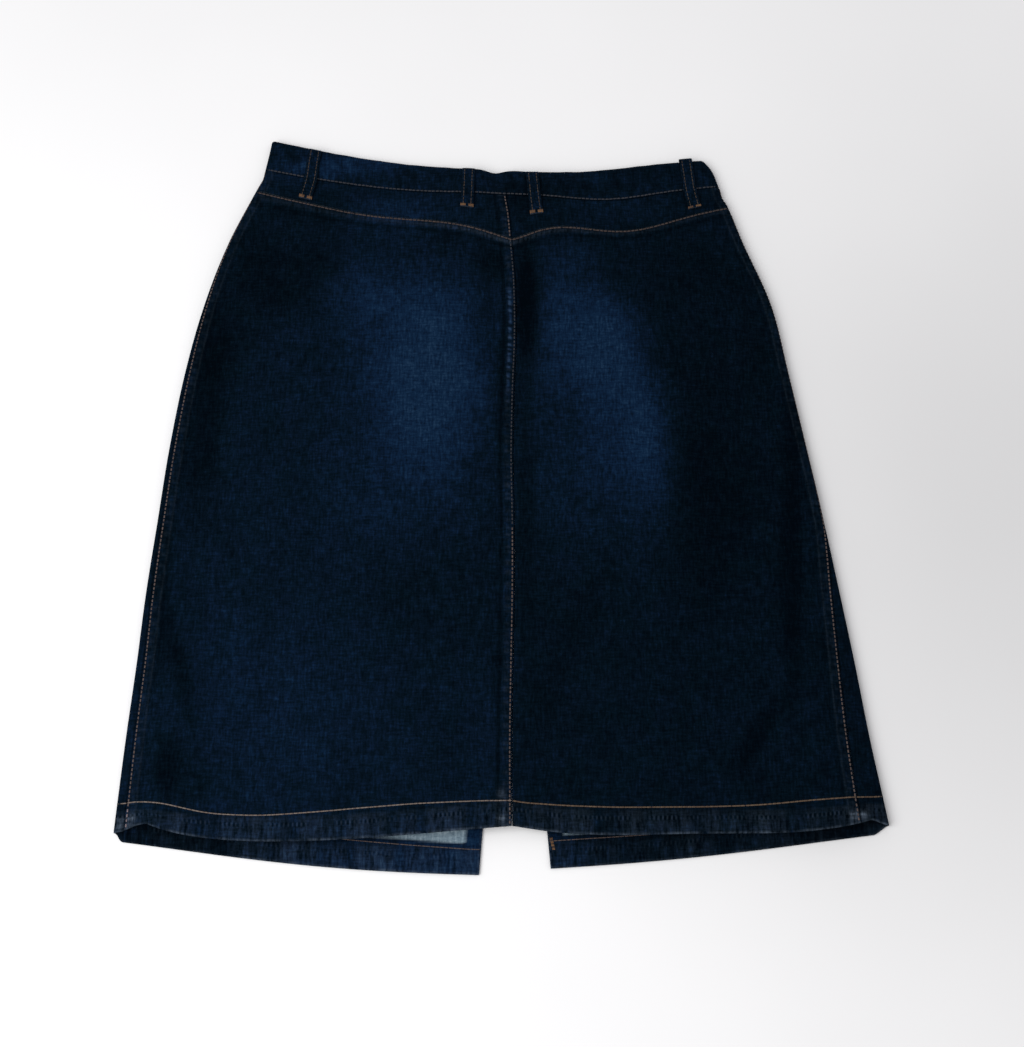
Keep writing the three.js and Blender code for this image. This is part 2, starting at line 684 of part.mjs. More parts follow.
function skirt() {
  const group = new THREE.Group();
  const denim = () => material(COLOURS.denim, 0.9);
  const metal = () => material(COLOURS.metal, 0.35, 1);
  for (const [word, side] of [["left", -1], ["right", 1]]) {
    const bodyRows = [...FELL_ROWS, ...BODY_ROWS.slice(0, -1)];
    const panel = backPiece(side, YOKE_SEAM, HEM_EDGE, bodyRows, true);
    const yoke = backPiece(side, BAND_SEAM, YOKE_SEAM, YOKE_ROWS, false);
    group.add(named(`back_panel_${word}`, panel, denim()));
    group.add(named(`back_yoke_${word}`, yoke, denim()));
    group.add(named(`front_panel_${word}`, frontPanel(side), denim()));
  }
  group.add(named("waistband", waistband(), denim()));
  for (const loop of BACK_LOOPS) group.add(named(loop.name, beltLoop("back", loop), denim()));
  for (const loop of FRONT_LOOPS) group.add(named(loop.name, beltLoop("front", loop), denim()));
  group.add(named("waist_button", button(), metal()));
  group.add(named("zip_tape", zipTape(), material(COLOURS.tape, 0.85)));
  group.add(named("zip_slider", zipSlider(), metal()));
  group.position.set(-CENTRE.x, -CENTRE.y, 0);
  return group;
}

export default skirt();
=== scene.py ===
"""A knee-length A-line denim skirt, laid flat on its front with its back upwards.

The cloth pieces are fine shells on the rows, side folds and heights of the solids that they replace,
some of them refined by a few millimetres, with the small folds, puckers, sewing and wear of the real
cloth. Sizes are in millimetres until a mesh is made. X runs across the skirt, Y from the hem to the
waist, and Z up. Left and right are the wearer's: side -1 is the left.
"""
import math
import random
from collections import defaultdict

import bpy
import numpy as np
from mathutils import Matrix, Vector
from mathutils.kdtree import KDTree


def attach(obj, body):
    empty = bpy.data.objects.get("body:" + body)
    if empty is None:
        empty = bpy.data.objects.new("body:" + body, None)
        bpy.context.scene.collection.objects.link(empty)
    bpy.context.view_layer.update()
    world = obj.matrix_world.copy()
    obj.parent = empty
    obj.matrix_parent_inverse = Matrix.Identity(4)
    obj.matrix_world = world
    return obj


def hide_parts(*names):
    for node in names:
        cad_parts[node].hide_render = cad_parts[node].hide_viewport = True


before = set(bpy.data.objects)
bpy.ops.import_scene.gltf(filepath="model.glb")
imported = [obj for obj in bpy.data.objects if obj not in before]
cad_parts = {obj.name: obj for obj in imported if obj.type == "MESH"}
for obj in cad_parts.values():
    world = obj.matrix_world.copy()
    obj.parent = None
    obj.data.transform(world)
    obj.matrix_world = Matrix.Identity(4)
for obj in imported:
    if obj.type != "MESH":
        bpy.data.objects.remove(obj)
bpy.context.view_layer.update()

MM = 0.001

# Cloth
CLOTH = 1.2
BAND = 2.4
BAND_PROUD = 0.5
BAND_DIP = 1.6  # how far its lower seam sags at the centre back
HEM_EXTRA = 1.1
FACING_EXTRA = 0.9
FELL_EXTRA = 0.8
FELL_WIDTH = 9
SEAM_GAP = 0.3
STITCH_ROOM = 0.38  # the front lies this far up, on its own stitches
EDGE_RADIUS, EDGE_DEPTH = 0.9, 0.55
TURN_LENGTH = 1.3  # how far the hem's turned edge is rounded

# Lengths down the centre back
BAND_SEAM = 27
YOKE_SEAM = 73
HEM_EDGE = 605
HEM_DEPTH = 23
SLIT_TOP = 415
SLIT_GAP = 57
SLIT_CURVE = 0.55
SLIT_LEFT_SHARE = 0.46
SLIT_FACING = 13
BACK_HEM_ROW, FRONT_HEM_ROW = 582, 584  # the mean rows of their stitches

# Places
WAIST_Y = 343
CENTRE = (-8, 39.3)
FOLD_RADIUS = 3.5
SIDE_REACH = 70
DENT_X, DENT_WIDTH, DENT_DEPTH, DENT_LENGTH = -16, 9, 2.6, 14
# layer, side: distance in from the side where a hem's corner is highest, its fade, its first row
CORNERS = {
    ("back", -1): (28, 24, 576),
    ("back", 1): (16, 24, 576),
    ("front", -1): (7, 100, 530),
    ("front", 1): (13, 100, 530),
}

# down, leftX, leftY, midX, rightX, rightY, frontDrop
OUTLINE = [
    (0, -223, 376, -5, 177, 355, 20),
    (10, -224.5, 365, -5, 184.5, 344.5, 20.4),
    (27, -228, 344, -5, 190.5, 326, 21),
    (50, -230, 334, -2, 193, 315, 21),
    (73, -235.3, 322.5, 0, 198, 305, 22),
    (112, -258, 268, 3, 210, 268, 23),
    (165, -276, 206, 4, 232, 206, 24),
    (225, -289, 139, 2, 244, 139, 26),
    (285, -298, 67, 1, 256, 67, 27),
    (345, -303.4, 2, 2, 266.8, 2, 29),
    (405, -308.8, -64, 2, 276.5, -64, 31),
    (465, -312.2, -126, 1, 285.2, -126, 33.4),
    (525, -316.3, -188, 0, 293, -188, 35.2),
    (580, -319.3, -244, 0, 300.6, -239, 36.7),
    (605, -320.4, -266.5, 0, 303.8, -260.5, 38),
]

# down, bow, wave, ripple, corner
CURVES = {
    ("back", -1): [
        (0, -6, 0, 0, 0),
        (27, -6.3, -0.6, 0, 0),
        (73, -1, -3.8, 1.3, 0),
        (150, 0, 0, 0, 0),
        (450, -3, 0, 0, 0),
        (605, -9.6, -0.9, 0, 8.5),
    ],
    ("back", 1): [
        (0, -4, 1.7, 0, 0),
        (27, -8, 0.8, 1.2, 0),
        (73, -5.1, -4.5, 3.6, 0),
        (150, 0, 0, 0, 0),
        (450, -2, 0, 0, 0),
        (605, -8.7, 0.6, -1.6, 5.5),
    ],
    ("front", -1): [
        (0, -5, 0, 0, 0),
        (150, -3, 0, 0, 0),
        (450, -5, 0, 0, 0),
        (605, -7.8, 0, 0, -5.6),
    ],
    ("front", 1): [
        (0, -5, 0, 0, 0),
        (150, -3, 0, 0, 0),
        (450, -4.5, 0, 0, 0),
        (605, -5.4, 0, 0, -5),
    ],
}
RIGHT_FRONT_RISE = 4
FRONT_WAVE_SHIFT = 57  # so that its puckers differ from the back's
FAR = 99.0  # a distance at which no seam or edge is felt

# down, left side seam, right side seam: lengths of cloth in from the side folds
SEAMS = [
    (0, 1, 0.5),
    (112, 2.5, 0.5),
    (225, 5.5, 0.5),
    (345, 6.5, 2),
    (405, 7.5, 9),
    (465, 8.5, 16),
    (525, 9.5, 21),
    (605, 11, 26),
]

# down, height over the side folds, height over the middle
LOFT = [
    (0, 6.6, 6.2),
    (27, 7, 9),
    (73, 7.4, 10),
    (150, 7.8, 10),
    (300, 7.8, 10),
    (450, 7.8, 10.5),
    (560, 8.2, 11.5),
    (605, 8.4, 12.5),
]

# x1, y1, x2, y2, width, rise: the solids' creases
CREASES = [
    (-75, 200, -80, 90, 60, 3.5),
    (85, 200, 90, 80, 60, 3.5),
    (14, 266, 12, 110, 10, -2.6),
    (-16, 262, -12, 150, 9, -2.2),
    (-28, 311, 28, 311, 42, 4.5),
    (-16, 352, -14, 330, 9, -1.6),
    (-235, 190, -120, 60, 28, 2.2),
    (205, 180, 120, 40, 26, 2),
    (-20, 215, -95, 160, 12, 1.2),
    (12, 120, 75, 40, 14, 1.2),
    (200, 80, 160, -190, 30, -2.2),
    (-266, 60, -246, -120, 24, -1.6),
    (-286, -262, -280, -150, 24, 5),
    (-215, -262, -205, -120, 38, -1.8),
    (-60, -262, -40, -60, 45, 2),
    (32, -262, 40, -150, 22, -2),
    (110, -262, 105, -100, 45, 2),
    (262, -258, 245, -120, 30, 5),
]

# x1, y1, x2, y2, width, rise: smaller folds than the solids have
FOLDS = [
    (-30, 240, -70, 262, 7, -0.9),
    (-36, 180, -100, 205, 9, 0.8),
    (-60, 120, -20, 150, 8, -0.7),
    (-240, 250, -180, 215, 14, -1.1),
    (-262, 205, -150, 150, 12, 0.8),
    (-283, 90, -270, -60, 9, -1.3),
    (-296, -60, -290, -200, 6, 0.8),
    (-205, -10, -120, -45, 16, 0.7),
    (-150, -100, -230, -180, 18, -0.6),
    (40, 235, 95, 262, 9, -0.9),
    (26, 150, 60, 190, 8, 0.7),
    (150, 210, 205, 150, 12, 0.9),
    (214, 205, 232, 90, 9, -0.8),
    (132, 120, 146, -20, 9, -0.9),
    (18, -20, 82, -190, 16, -1.0),
    (70, -60, 110, -150, 20, 0.7),
    (178, -20, 140, -120, 14, 0.7),
    (238, 20, 214, -180, 9, -1.2),
    (-110, -150, -60, -215, 14, 0.6),
    (150, -190, 190, -235, 12, 0.7),
    (-205, 345, -170, 352, 6, 0.6),
    (-120, 338, -95, 345, 5, -0.6),
    (62, 334, 84, 330, 5, -0.7),
    (110, 340, 132, 334, 5, 0.6),
    (44, 300, 70, 306, 6, 0.5),
    (-150, 312, -118, 306, 6, 0.5),
]

# x, y, flat, reach, lift: where the front is lifted by what it lies on
BUTTON_X, BUTTON_Y = -2, 311
BUTTON_LIFT = 3.3
LIFTS = [
    (BUTTON_X, BUTTON_Y, 13, 34, BUTTON_LIFT),
    (-98, 308, 30, 32, 2.3),
    (92, 306, 30, 32, 2.3),
]

# x, y, half width, half height, turn in degrees, amount: broad fading of the dye, and darker places, partly
# unfaded dye and partly painted shade of folds, creases and the trough beside the centre seam
FADES_AND_SHADE = [
    (-84, 150, 70, 108, 4, 0.19),
    (-70, 120, 46, 76, 0, 0.20),
    (-72, 200, 40, 26, -8, 0.10),
    (-140, 215, 38, 24, -20, 0.14),
    (-100, 20, 74, 60, 0, 0.09),
    (80, 130, 46, 112, 14, 0.30),
    (75, 170, 34, 62, 16, 0.16),
    (36, 185, 14, 70, 0, 0.12),
    (34, 60, 14, 60, 0, 0.08),
    (118, 72, 20, 68, 8, 0.18),
    (80, 20, 60, 66, 0, 0.12),
    (52, 256, 30, 16, -10, 0.10),
    (-103, 300, 45, 17, 6, 0.14),
    (92, 303, 50, 15, -2, 0.14),
    (-150, 350, 76, 14, 6, 0.24),
    (-182, 346, 18, 9, 0, 0.14),
    (70, 336, 40, 9, 0, 0.08),
    (-205, -165, 100, 100, 0, 0.1),
    (-22, -205, 14, 50, 0, 0.06),
    # painted shade in the trough right of the centre seam
    (13, 206, 9, 54, 0, -0.42),
    (25, 112, 9, 36, 0, 0.08),
    (12, -20, 8, 110, 0, -0.12),
    (-6, 120, 9, 70, 0, -0.14),
    (-22, 246, 14, 20, 0, -0.20),
    (8, 314, 26, 18, 0, -0.14),
    (-206, 232, 50, 40, 30, -0.20),
    (-190, 300, 40, 22, 0, -0.10),
    (-268, 112, 18, 110, 0, -0.24),
    (-60, -65, 60, 60, 0, -0.06),
    (165, 10, 32, 90, 0, -0.16),
    (205, 70, 34, 150, 0, -0.07),
    (165, 235, 62, 36, 0, -0.06),
    (237, -37, 9, 125, -3, -0.26),
    (199, -190, 9, 38, -34, -0.18),
    (-275, -130, 8, 56, 16, -0.24),
    (-279, -210, 10, 26, 0, -0.20),
    (46, -110, 14, 90, -24, -0.08),
    (-250, 162, 22, 34, 0, -0.14),
    (-61, 266, 16, 12, 0, -0.12),
    (100, 180, 16, 26, 0, 0.08),
    (162, 146, 26, 38, 0, -0.09),
    (-262, -222, 24, 24, 0, -0.12),
    (200, -232, 24, 16, 0, -0.08),
    (243, 76, 8, 34, 0, -0.12),
    (-296, -60, 9, 130, 3, -0.14),
    (-232, 262, 20, 26, 30, -0.1),
    (172, 330, 16, 12, 0, 0.08),
]

LOOP_WIDTH = 12
LOOP_THICKNESS = 1.5
LOOP_CLEARANCE = 0.5
LOOP_STANDOFF = 0.9
# name, layer, topX, bottomX, top, bottom
LOOPS = [
    ("belt_loop_back_far_left", "back", -182, -189, 1, 70),
    ("belt_loop_back_left", "back", -39.8, -41, 1, 50),
    ("belt_loop_back_right", "back", 18.5, 22.5, 1.5, 54),
    ("belt_loop_back_far_right", "back", 160, 167, -1.6, 63.5),
    ("belt_loop_front_left", "front", -98, -98, 1, 48),
    ("belt_loop_front_right", "front", 92, 92, 1, 48),
]

LAP_OUTER_X, LAP_INNER_X = -14, 22
LAP_RAMP_FROM, LAP_RAMP_TO = -48, -19
HOLE_LENGTH, HOLE_WIDTH = 18, 5.6
CAP_RADIUS, CAP_HEIGHT, SHANK_RADIUS = 8.5, 3, 2.4
FLY_WIDTH, FLY_STRAIGHT = 30, 150
ZIP_WIDTH, ZIP_THICKNESS, ZIP_LENGTH, ZIP_CLEARANCE = 24, 0.8, 150, 0.4

# Sewing
PITCH = 3.6
# x, down: the line of stitches on the inside of the front's hem
FRONT_HEM_LINE = [
    (-320, 581),
    (-140, 582),
    (-100, 583.2),
    (-45, 585.2),
    (-30, 586),
    (20, 584),
    (60, 583.4),
    (300, 583),
]
HEM_FOLDED = 4.2  # from that line to the turned edge
# x, down: the back hem's line of stitches, which wanders a little
HEM_LINE = [
    (-320, 580.5),
    (-308, 577.6),
    (-288, 576.9),
    (-271, 579),
    (-257, 581.5),
    (-242, 583.2),
    (-202, 583.6),
    (-162, 581.9),
    (-122, 580.5),
    (-82, 580.4),
    (-38, 582.1),
    (-15, 583.3),
    (2, 585.2),
    (8, 585.2),
    (27, 583.5),
    (58, 582.7),
    (151, 582.8),
    (191, 581.4),
    (232, 578.2),
    (272, 577.4),
    (300, 578.3),
]
EDGE_STITCH = 1.6  # how far topstitching runs from its seam
LOOP_STITCH_SHARE = 0.58  # of the loop's half width
TACK_SHARES = (-0.92, -0.76, -0.6, -0.44, -0.28, 0.28, 0.44, 0.6, 0.76, 0.92)
TACK_PLACES = (5.2, 3.6, 2.0, 0.5)  # from the loop's lower end
SLIT_TACK_ROWS, SLIT_TACK_COLUMNS = (581, 591), (2.4, 3.2, 4.0)
CENTRE_WORN_TO = 350  # above this row the centre seam's thread is duller
# thread: colour, colour in its hollows
THREADS = {
    "hem": ((116, 106, 98), (88, 74, 66)),
    "hem_dim": ((92, 76, 60), (66, 50, 40)),
    "seams": ((86, 74, 70), (58, 48, 46)),
    "seam_ends": ((126, 113, 116), (86, 76, 80)),
    "yoke": ((66, 55, 51), (43, 36, 36)),
    "dull": ((44, 46, 52), (28, 30, 37)),
    "loops": ((64, 54, 44), (36, 31, 29)),
    "tacks": ((114, 84, 56), (60, 43, 35)),
}
# mesh, thread, length, width, height, pitch, seed
STITCHES = [
    ("stitches_hem_left", "hem", 4.3, 1.05, 0.6, PITCH, 2),
    ("stitches_hem_right", "hem_dim", 4.3, 1.25, 0.6, PITCH, 12),
    ("stitches_hem_inside", "seams", 4.1, 0.85, 0.5, PITCH, 3),
    ("stitches_seams", "seams", 2.8, 1.25, 0.55, PITCH, 4),
    ("stitches_seam_ends", "seam_ends", 3.0, 1.3, 0.6, PITCH, 24),
    ("stitches_front", "seams", 2.8, 1.0, 0.5, PITCH, 34),
    ("stitches_centre_top", "dull", 2.8, 1.3, 0.5, PITCH, 14),
    ("stitches_yoke", "yoke", 3.7, 1.5, 0.5, PITCH, 5),
    ("stitches_waistband", "dull", 3.5, 1.5, 0.45, PITCH, 6),
    ("stitches_belt_loops", "loops", 3.3, 0.8, 0.4, PITCH, 7),
    ("bar_tacks", "tacks", 3.8, 1.0, 0.6, 3.4, 8),
    ("slit_bar_tack", "tacks", 2.6, 0.8, 0.5, 2.4, 9),
]
TOOTH_LENGTH, TOOTH_WIDTH, TOOTH_HEIGHT, TOOTH_PITCH = 3.2, 1.3, 0.9, 2.2

# Camera and light
CAMERA_DISTANCE = 1500
CAMERA_ELEVATION = 70
FOCAL_PIXELS = 1747
FRAME_HEIGHT = 1047
SENSOR = 36
KEY_PLACE, KEY_POWER, KEY_SIZE = (-1.0, -0.6, 1.5), 24.5, 1.5
SKY_COLOUR, SKY_LEVEL = (0.99, 0.98, 1.0), 0.62
# painted shade on the floor towards the right: its centre in metres, its radius and its depth
FLOOR_SHADE_PLACE, FLOOR_SHADE_RADIUS, FLOOR_SHADE_SHARE = (0.45, -0.06, 0), 0.6, 0.22


def smooth(t):
    c = np.clip(t, 0, 1)
    return c * c * (3 - 2 * c)


def mix(a, b, t):
    return a + (b - a) * t


def linear(level):
    """A level as seen, of 0 to 255, made linear for the shaders."""
    share = level / 255
    return share / 12.92 if level < 10.3 else ((share + 0.055) / 1.055) ** 2.4


def srgb(red, green, blue):
    return linear(red), linear(green), linear(blue)


def reader(rows):
    """Smooth interpolation of a table in its first column, as the solids have it."""
    table = np.array(rows, float)
    first, values = table[:, 0], table[:, 1:]
    last = len(first) - 1

    def at(down):
        down = np.asarray(down, float)
        i = np.clip(np.searchsorted(first, down, side="right") - 1, 0, last - 1)
        before, after = np.maximum(i - 1, 0), np.minimum(i + 2, last)
        span = (first[i + 1] - first[i])[..., None]
        t = (down - first[i])[..., None] / span
        slope_a = (values[i + 1] - values[before]) * span / (first[i + 1] - first[before])[..., None]
        slope_b = (values[after] - values[i]) * span / (first[after] - first[i])[..., None]
        t2, t3 = t**2, t**3
        return (
            (2 * t3 - 3 * t2 + 1) * values[i]
            + (t3 - 2 * t2 + t) * slope_a
            + (3 * t2 - 2 * t3) * values[i + 1]
            + (t3 - t2) * slope_b
        )

    return at


outline_at = reader(OUTLINE)
curve_at = {key: reader(rows) for key, rows in CURVES.items()}
seam_at = reader(SEAMS)
loft_at = reader(LOFT)


def half_row(down, side, layer):
    """A row's side fold and centre: x, y, mid x, mid y."""
    o = outline_at(down)
    x, y = (o[..., 0], o[..., 1]) if side < 0 else (o[..., 3], o[..., 4])
    mid_y = WAIST_Y - down
    if layer == "back":
        mid_y = mid_y - BAND_DIP * bump(down, BAND_SEAM, BAND_SEAM)
    else:
        rise = 0 if side < 0 else RIGHT_FRONT_RISE * smooth((down - SLIT_TOP) / (HEM_EDGE - SLIT_TOP))
        mid_y = mid_y - o[..., 5] + rise
    return x, y, o[..., 2], mid_y


def reach_at(down, side, layer):
    x, _, mid_x, _ = half_row(down, side, layer)
    return np.abs(mid_x - x)


def half_plan(down, side, layer, inward):
    x0, y0, mid_x, mid_y = half_row(down, side, layer)
    bow, wave, ripple, corner = np.moveaxis(curve_at[layer, side](down), -1, 0)
    s = inward / np.abs(mid_x - x0)
    x = mix(x0, mid_x, s)
    y = mix(y0, mid_y, s)
    y = y + bow * np.sin(np.pi * s) + wave * np.sin(2 * np.pi * s) + ripple * np.sin(3 * np.pi * s)
    highest, fade, first_row = CORNERS[layer, side]
    lengthwise = smooth((down - first_row) / (HEM_EDGE - first_row))
    pull = smooth(inward / highest) * np.exp(-np.maximum(0, inward - highest) / fade)
    y = y + corner * lengthwise * pull
    if layer == "back":
        across = ((x - DENT_X) / DENT_WIDTH) ** 2
        y = y - DENT_DEPTH * np.exp(-across - (np.maximum(0, down) / DENT_LENGTH) ** 2)
    return x, y


def plan(down, side, layer, inward):
    """A row's point at a plan distance inward from its side fold, past the centre too."""
    reach = reach_at(down, side, layer)
    over = inward > reach
    x, y = half_plan(down, side, layer, np.minimum(inward, reach))
    other = reach_at(down, -side, layer) + reach - np.maximum(inward, reach)
    x2, y2 = half_plan(down, -side, layer, other)
    return np.where(over, x2, x), np.where(over, y2, y)


def line_bumps(table, x, y):
    """Soft ridges and troughs along lines."""
    height = np.zeros_like(x)
    for x1, y1, x2, y2, width, rise in table:
        dx, dy = x2 - x1, y2 - y1
        length = math.hypot(dx, dy)
        along = ((x - x1) * dx + (y - y1) * dy) / length
        across = np.abs((x - x1) * dy - (y - y1) * dx) / length
        past = np.maximum(0, np.maximum(-along, along - length))
        height = height + rise * np.exp(-((across / width) ** 2) - (past / width) ** 2)
    return height


def wander(t, seed, shortest, longest, count=7):
    """An uneven wave of about -1 to 1 along t, the same on each run."""
    draw = random.Random(seed)
    total = np.zeros_like(t)
    for k in range(count):
        length = shortest * (longest / shortest) ** (k / (count - 1)) * draw.uniform(0.85, 1.15)
        total = total + (length / longest) ** 0.25 * np.sin(t * 2 * np.pi / length + draw.uniform(0, 6.28))
    return total / math.sqrt(count / 2)


def bump(value, middle, half):
    return smooth(1 - np.abs(value - middle) / half)


def front_hem_line(x):
    places = np.array(FRONT_HEM_LINE, float)
    return np.interp(x, places[:, 0], places[:, 1])


def hem_pucker(x, down):
    """The pull of the hem's stitching: slanted ridges between the stitches and the fold."""
    slant = x + 0.35 * (down - HEM_EDGE)
    wave = wander(slant, 11, 3.8, 13) * (0.75 + 0.25 * wander(x, 12, 30, 90, 3))
    below = bump(down, HEM_EDGE - 9, 13)
    above = bump(down, HEM_EDGE - 26, 9)
    return wave, below + 0.3 * above


def back_relief(x, y, down):
    """Folds and puckers that the solids leave out."""
    wave, where = hem_pucker(x, down)
    relief = line_bumps(FOLDS, x, y) + 0.36 * wave * where
    yoke_wave = wander(x + 0.2 * down, 21, 4.6, 12)
    relief = relief + 0.22 * yoke_wave * bump(down, YOKE_SEAM + 4, 8)
    relief = relief + 0.16 * wander(x, 22, 6, 17) * bump(down, BAND_SEAM, 9)
    relief = relief + 0.3 * wander(x - 0.6 * down, 23, 14, 40, 4) * bump(down, 10, 20)
    seam_x = outline_at(down)[..., 2]
    relief = relief + 0.24 * wander(y, 24, 5, 14) * bump(x, seam_x - 5, 8)
    return relief


def back_height(down, inward, x, y):
    side, middle = np.moveaxis(loft_at(down), -1, 0)
    height = mix(side, middle, smooth((inward - FOLD_RADIUS) / SIDE_REACH))
    free = smooth((inward - FOLD_RADIUS) / 14)
    return height + (line_bumps(CREASES, x, y) + back_relief(x, y, down)) * free


def front_height(x, y):
    height = np.zeros_like(x)
    for lx, ly, flat, reach, lift in LIFTS:
        far = np.hypot(x - lx, y - ly)
        height = np.maximum(height, lift * smooth(1 - (far - flat) / reach))
    return np.maximum(height, STITCH_ROOM)


def stack(*values):
    return np.stack(np.broadcast_arrays(*values), axis=-1).astype(float)


QUARTER = FOLD_RADIUS * math.pi / 2


def cloth_at(inward):
    return inward - FOLD_RADIUS + QUARTER


def plan_x(down, side, layer, cloth):
    return plan(down, side, layer, np.maximum(0, cloth + FOLD_RADIUS - QUARTER))[0]


def centre_cloth(down, side, layer="back"):
    """The length of cloth from the side fold to the centre."""
    return cloth_at(reach_at(down, side, layer))


def side_seam(down, side):
    """The length of cloth from the side fold to the side seam."""
    return np.maximum(0, seam_at(down)[..., 0 if side < 0 else 1])


def layer_point(down, side, layer, cloth, thickness, proud=0.0, edge=0.0):
    """Outer and inner points of a layer, by the length of cloth from the side fold.

    proud lifts the outer face alone, and edge draws it back where the cloth is cut or turned.
    """
    down, cloth = np.broadcast_arrays(np.asarray(down, float), np.asarray(cloth, float))
    up = 1 if layer == "back" else -1
    lift = proud - edge
    middle = loft_at(down)[..., 0] / 2
    angle = np.clip(cloth, 0, QUARTER) / FOLD_RADIUS
    edge_x, _ = plan(down, side, layer, np.zeros_like(down))
    _, ring_y = plan(down, side, layer, FOLD_RADIUS * (1 - np.cos(angle)))

    def ring(inset):
        x = edge_x - side * (FOLD_RADIUS - (FOLD_RADIUS - inset) * np.cos(angle))
        return stack(x, ring_y, middle + up * (middle - inset) * np.sin(angle))

    inward = np.maximum(FOLD_RADIUS + cloth - QUARTER, FOLD_RADIUS)
    x, y = plan(down, side, layer, inward)
    z = back_height(down, inward, x, y) if layer == "back" else front_height(x, y)
    rolled = (cloth < QUARTER)[..., None]
    outer = np.where(rolled, ring(-lift * np.sin(angle)), stack(x, y, z + up * lift))
    inner = np.where(rolled, ring(thickness), stack(x, y, z - up * thickness))
    if layer == "front":
        outer[..., 2] = np.maximum(outer[..., 2], STITCH_ROOM)
    return outer, inner


def beside(down, shift, side, layer):
    """A row shifted by a few tenths of a millimetre, for the gap at a seam."""
    x1, y1 = plan(np.array(down - 0.5), side, layer, np.array(0.0))
    x2, y2 = plan(np.array(down + 0.5), side, layer, np.array(0.0))
    return down + shift / math.hypot(x2 - x1, y2 - y1)


def round_edge(distance):
    """How far an edge's outer face is drawn back, by the distance from the edge."""
    t = np.clip(1 - distance / EDGE_RADIUS, 0, 1)
    return EDGE_DEPTH * (1 - np.sqrt(1 - t * t * 0.98))


def hem_turn(from_hem):
    """How far both faces close in at the hem's turned edge."""
    share = np.clip(1 - from_hem / TURN_LENGTH, 0, 0.985)
    return 0.5 * (CLOTH + HEM_EXTRA) * (1 - np.sqrt(1 - share**2))


def ridge(distance, width=FELL_WIDTH):
    """A felled seam: flat on top, with a soft inner shoulder."""
    return FELL_EXTRA * smooth((width + 0.9 - distance) / 1.8)


def back_distances(side, down, cloth):
    """How far points of the back lie in from the side seam and the centre seam."""
    half = SEAM_GAP / 2
    return cloth - side_seam(down, side) - half, centre_cloth(down, side) - half - cloth


def back_proud(side, down, cloth):
    """How far the felled seams stand proud of the back panels."""
    from_side, from_centre = back_distances(side, down, cloth)
    proud = np.where(from_side > 0, ridge(from_side), 0)
    if side < 0:
        proud = np.maximum(proud, ridge(from_centre))
    below_yoke = down - YOKE_SEAM
    return np.where(below_yoke >= 0, np.maximum(proud, ridge(below_yoke, 7.5)), proud)


# Meshes

LOOKS = 5
LOOK_LAYERS = (("cloth", 0), ("sewn", 3))


def sheet_area(points):
    across = points[:, 1:] - points[:, :-1]
    along = points[1:] - points[:-1]
    cross = np.cross(across[:-1], along[:, :-1])
    return float(np.linalg.norm(cross, axis=-1).sum()) * MM * MM


def new_object(name, points, faces, smooth_flags=None):
    mesh = bpy.data.meshes.new(name)
    placed = (np.asarray(points) - np.array([CENTRE[0], CENTRE[1], 0])) * MM
    mesh.from_pydata(placed.tolist(), [], [list(f) for f in faces])
    flags = [True] * len(faces) if smooth_flags is None else smooth_flags
    mesh.polygons.foreach_set("use_smooth", flags)
    mesh.update()
    obj = bpy.data.objects.new(name, mesh)
    bpy.context.scene.collection.objects.link(obj)
    return obj


def outward(points, faces):
    """The faces, all turned round if the closed surface points inwards."""
    a, b, c = (points[faces[:, k]] for k in (0, 1, 2))
    d = points[faces[:, 3]]
    volume = np.einsum("ij,ij->", a, np.cross(b, c)) + np.einsum("ij,ij->", a, np.cross(c, d))
    return faces[:, ::-1] if volume < 0 else faces


def shell(name, outer, inner, outer_look, inner_look):
    """A closed cloth wall from two grids.

    A look has five values for each point: fade (which also carries painted shade), wear, wrong side, streaks
    and ticks.
    """
    rows, cols = outer.shape[:2]
    points = np.stack([outer, inner], axis=2).reshape(-1, 3)
    look = np.stack([outer_look, inner_look], axis=2).reshape(-1, LOOKS)
    index = np.arange(rows * cols * 2).reshape(rows, cols, 2)
    o, n = index[..., 0], index[..., 1]

    def quads(a, b, c, d):
        return np.stack([a, b, c, d], -1).reshape(-1, 4)

    broad = [
        quads(o[:-1, :-1], o[1:, :-1], o[1:, 1:], o[:-1, 1:]),
        quads(n[:-1, :-1], n[:-1, 1:], n[1:, 1:], n[1:, :-1]),
    ]
    rims = [
        quads(o[:-1, 0], n[:-1, 0], n[1:, 0], o[1:, 0]),
        quads(o[:-1, -1], o[1:, -1], n[1:, -1], n[:-1, -1]),
        quads(o[0, :-1], o[0, 1:], n[0, 1:], n[0, :-1]),
        quads(o[-1, :-1], n[-1, :-1], n[-1, 1:], o[-1, 1:]),
    ]
    faces = outward(points, np.concatenate(broad + rims))
    flat = sum(len(r) for r in rims)
    obj = new_object(name, points, faces, [True] * (len(faces) - flat) + [False] * flat)
    set_look(obj.data, look)
    return obj


def set_look(mesh, look):
    for name, first in LOOK_LAYERS:
        layer = mesh.attributes.get(name) or mesh.attributes.new(name, "FLOAT_VECTOR", "POINT")
        values = np.zeros((len(look), 3), np.float32)
        part = look[:, first : first + 3]
        values[:, : part.shape[1]] = part
        layer.data.foreach_set("vector", values.reshape(-1))


def look_of(mesh):
    parts = []
    for name, first in LOOK_LAYERS:
        values = np.empty(len(mesh.vertices) * 3, np.float32)
        mesh.attributes[name].data.foreach_get("vector", values)
        parts.append(values.reshape(-1, 3)[:, : LOOKS - first])
    return np.concatenate(parts, axis=1)


FINE = np.array([0, 0.3, 0.65, 1.1, 1.7, 2.6, 3.8, 5.2, 6.6, 7.7, 8.5, 9.3, 10.1, 11.5])


def spaced(start, end, spacing):
    count = max(2, int(round((end - start) / spacing)) + 1)
    return np.linspace(start, end, count)


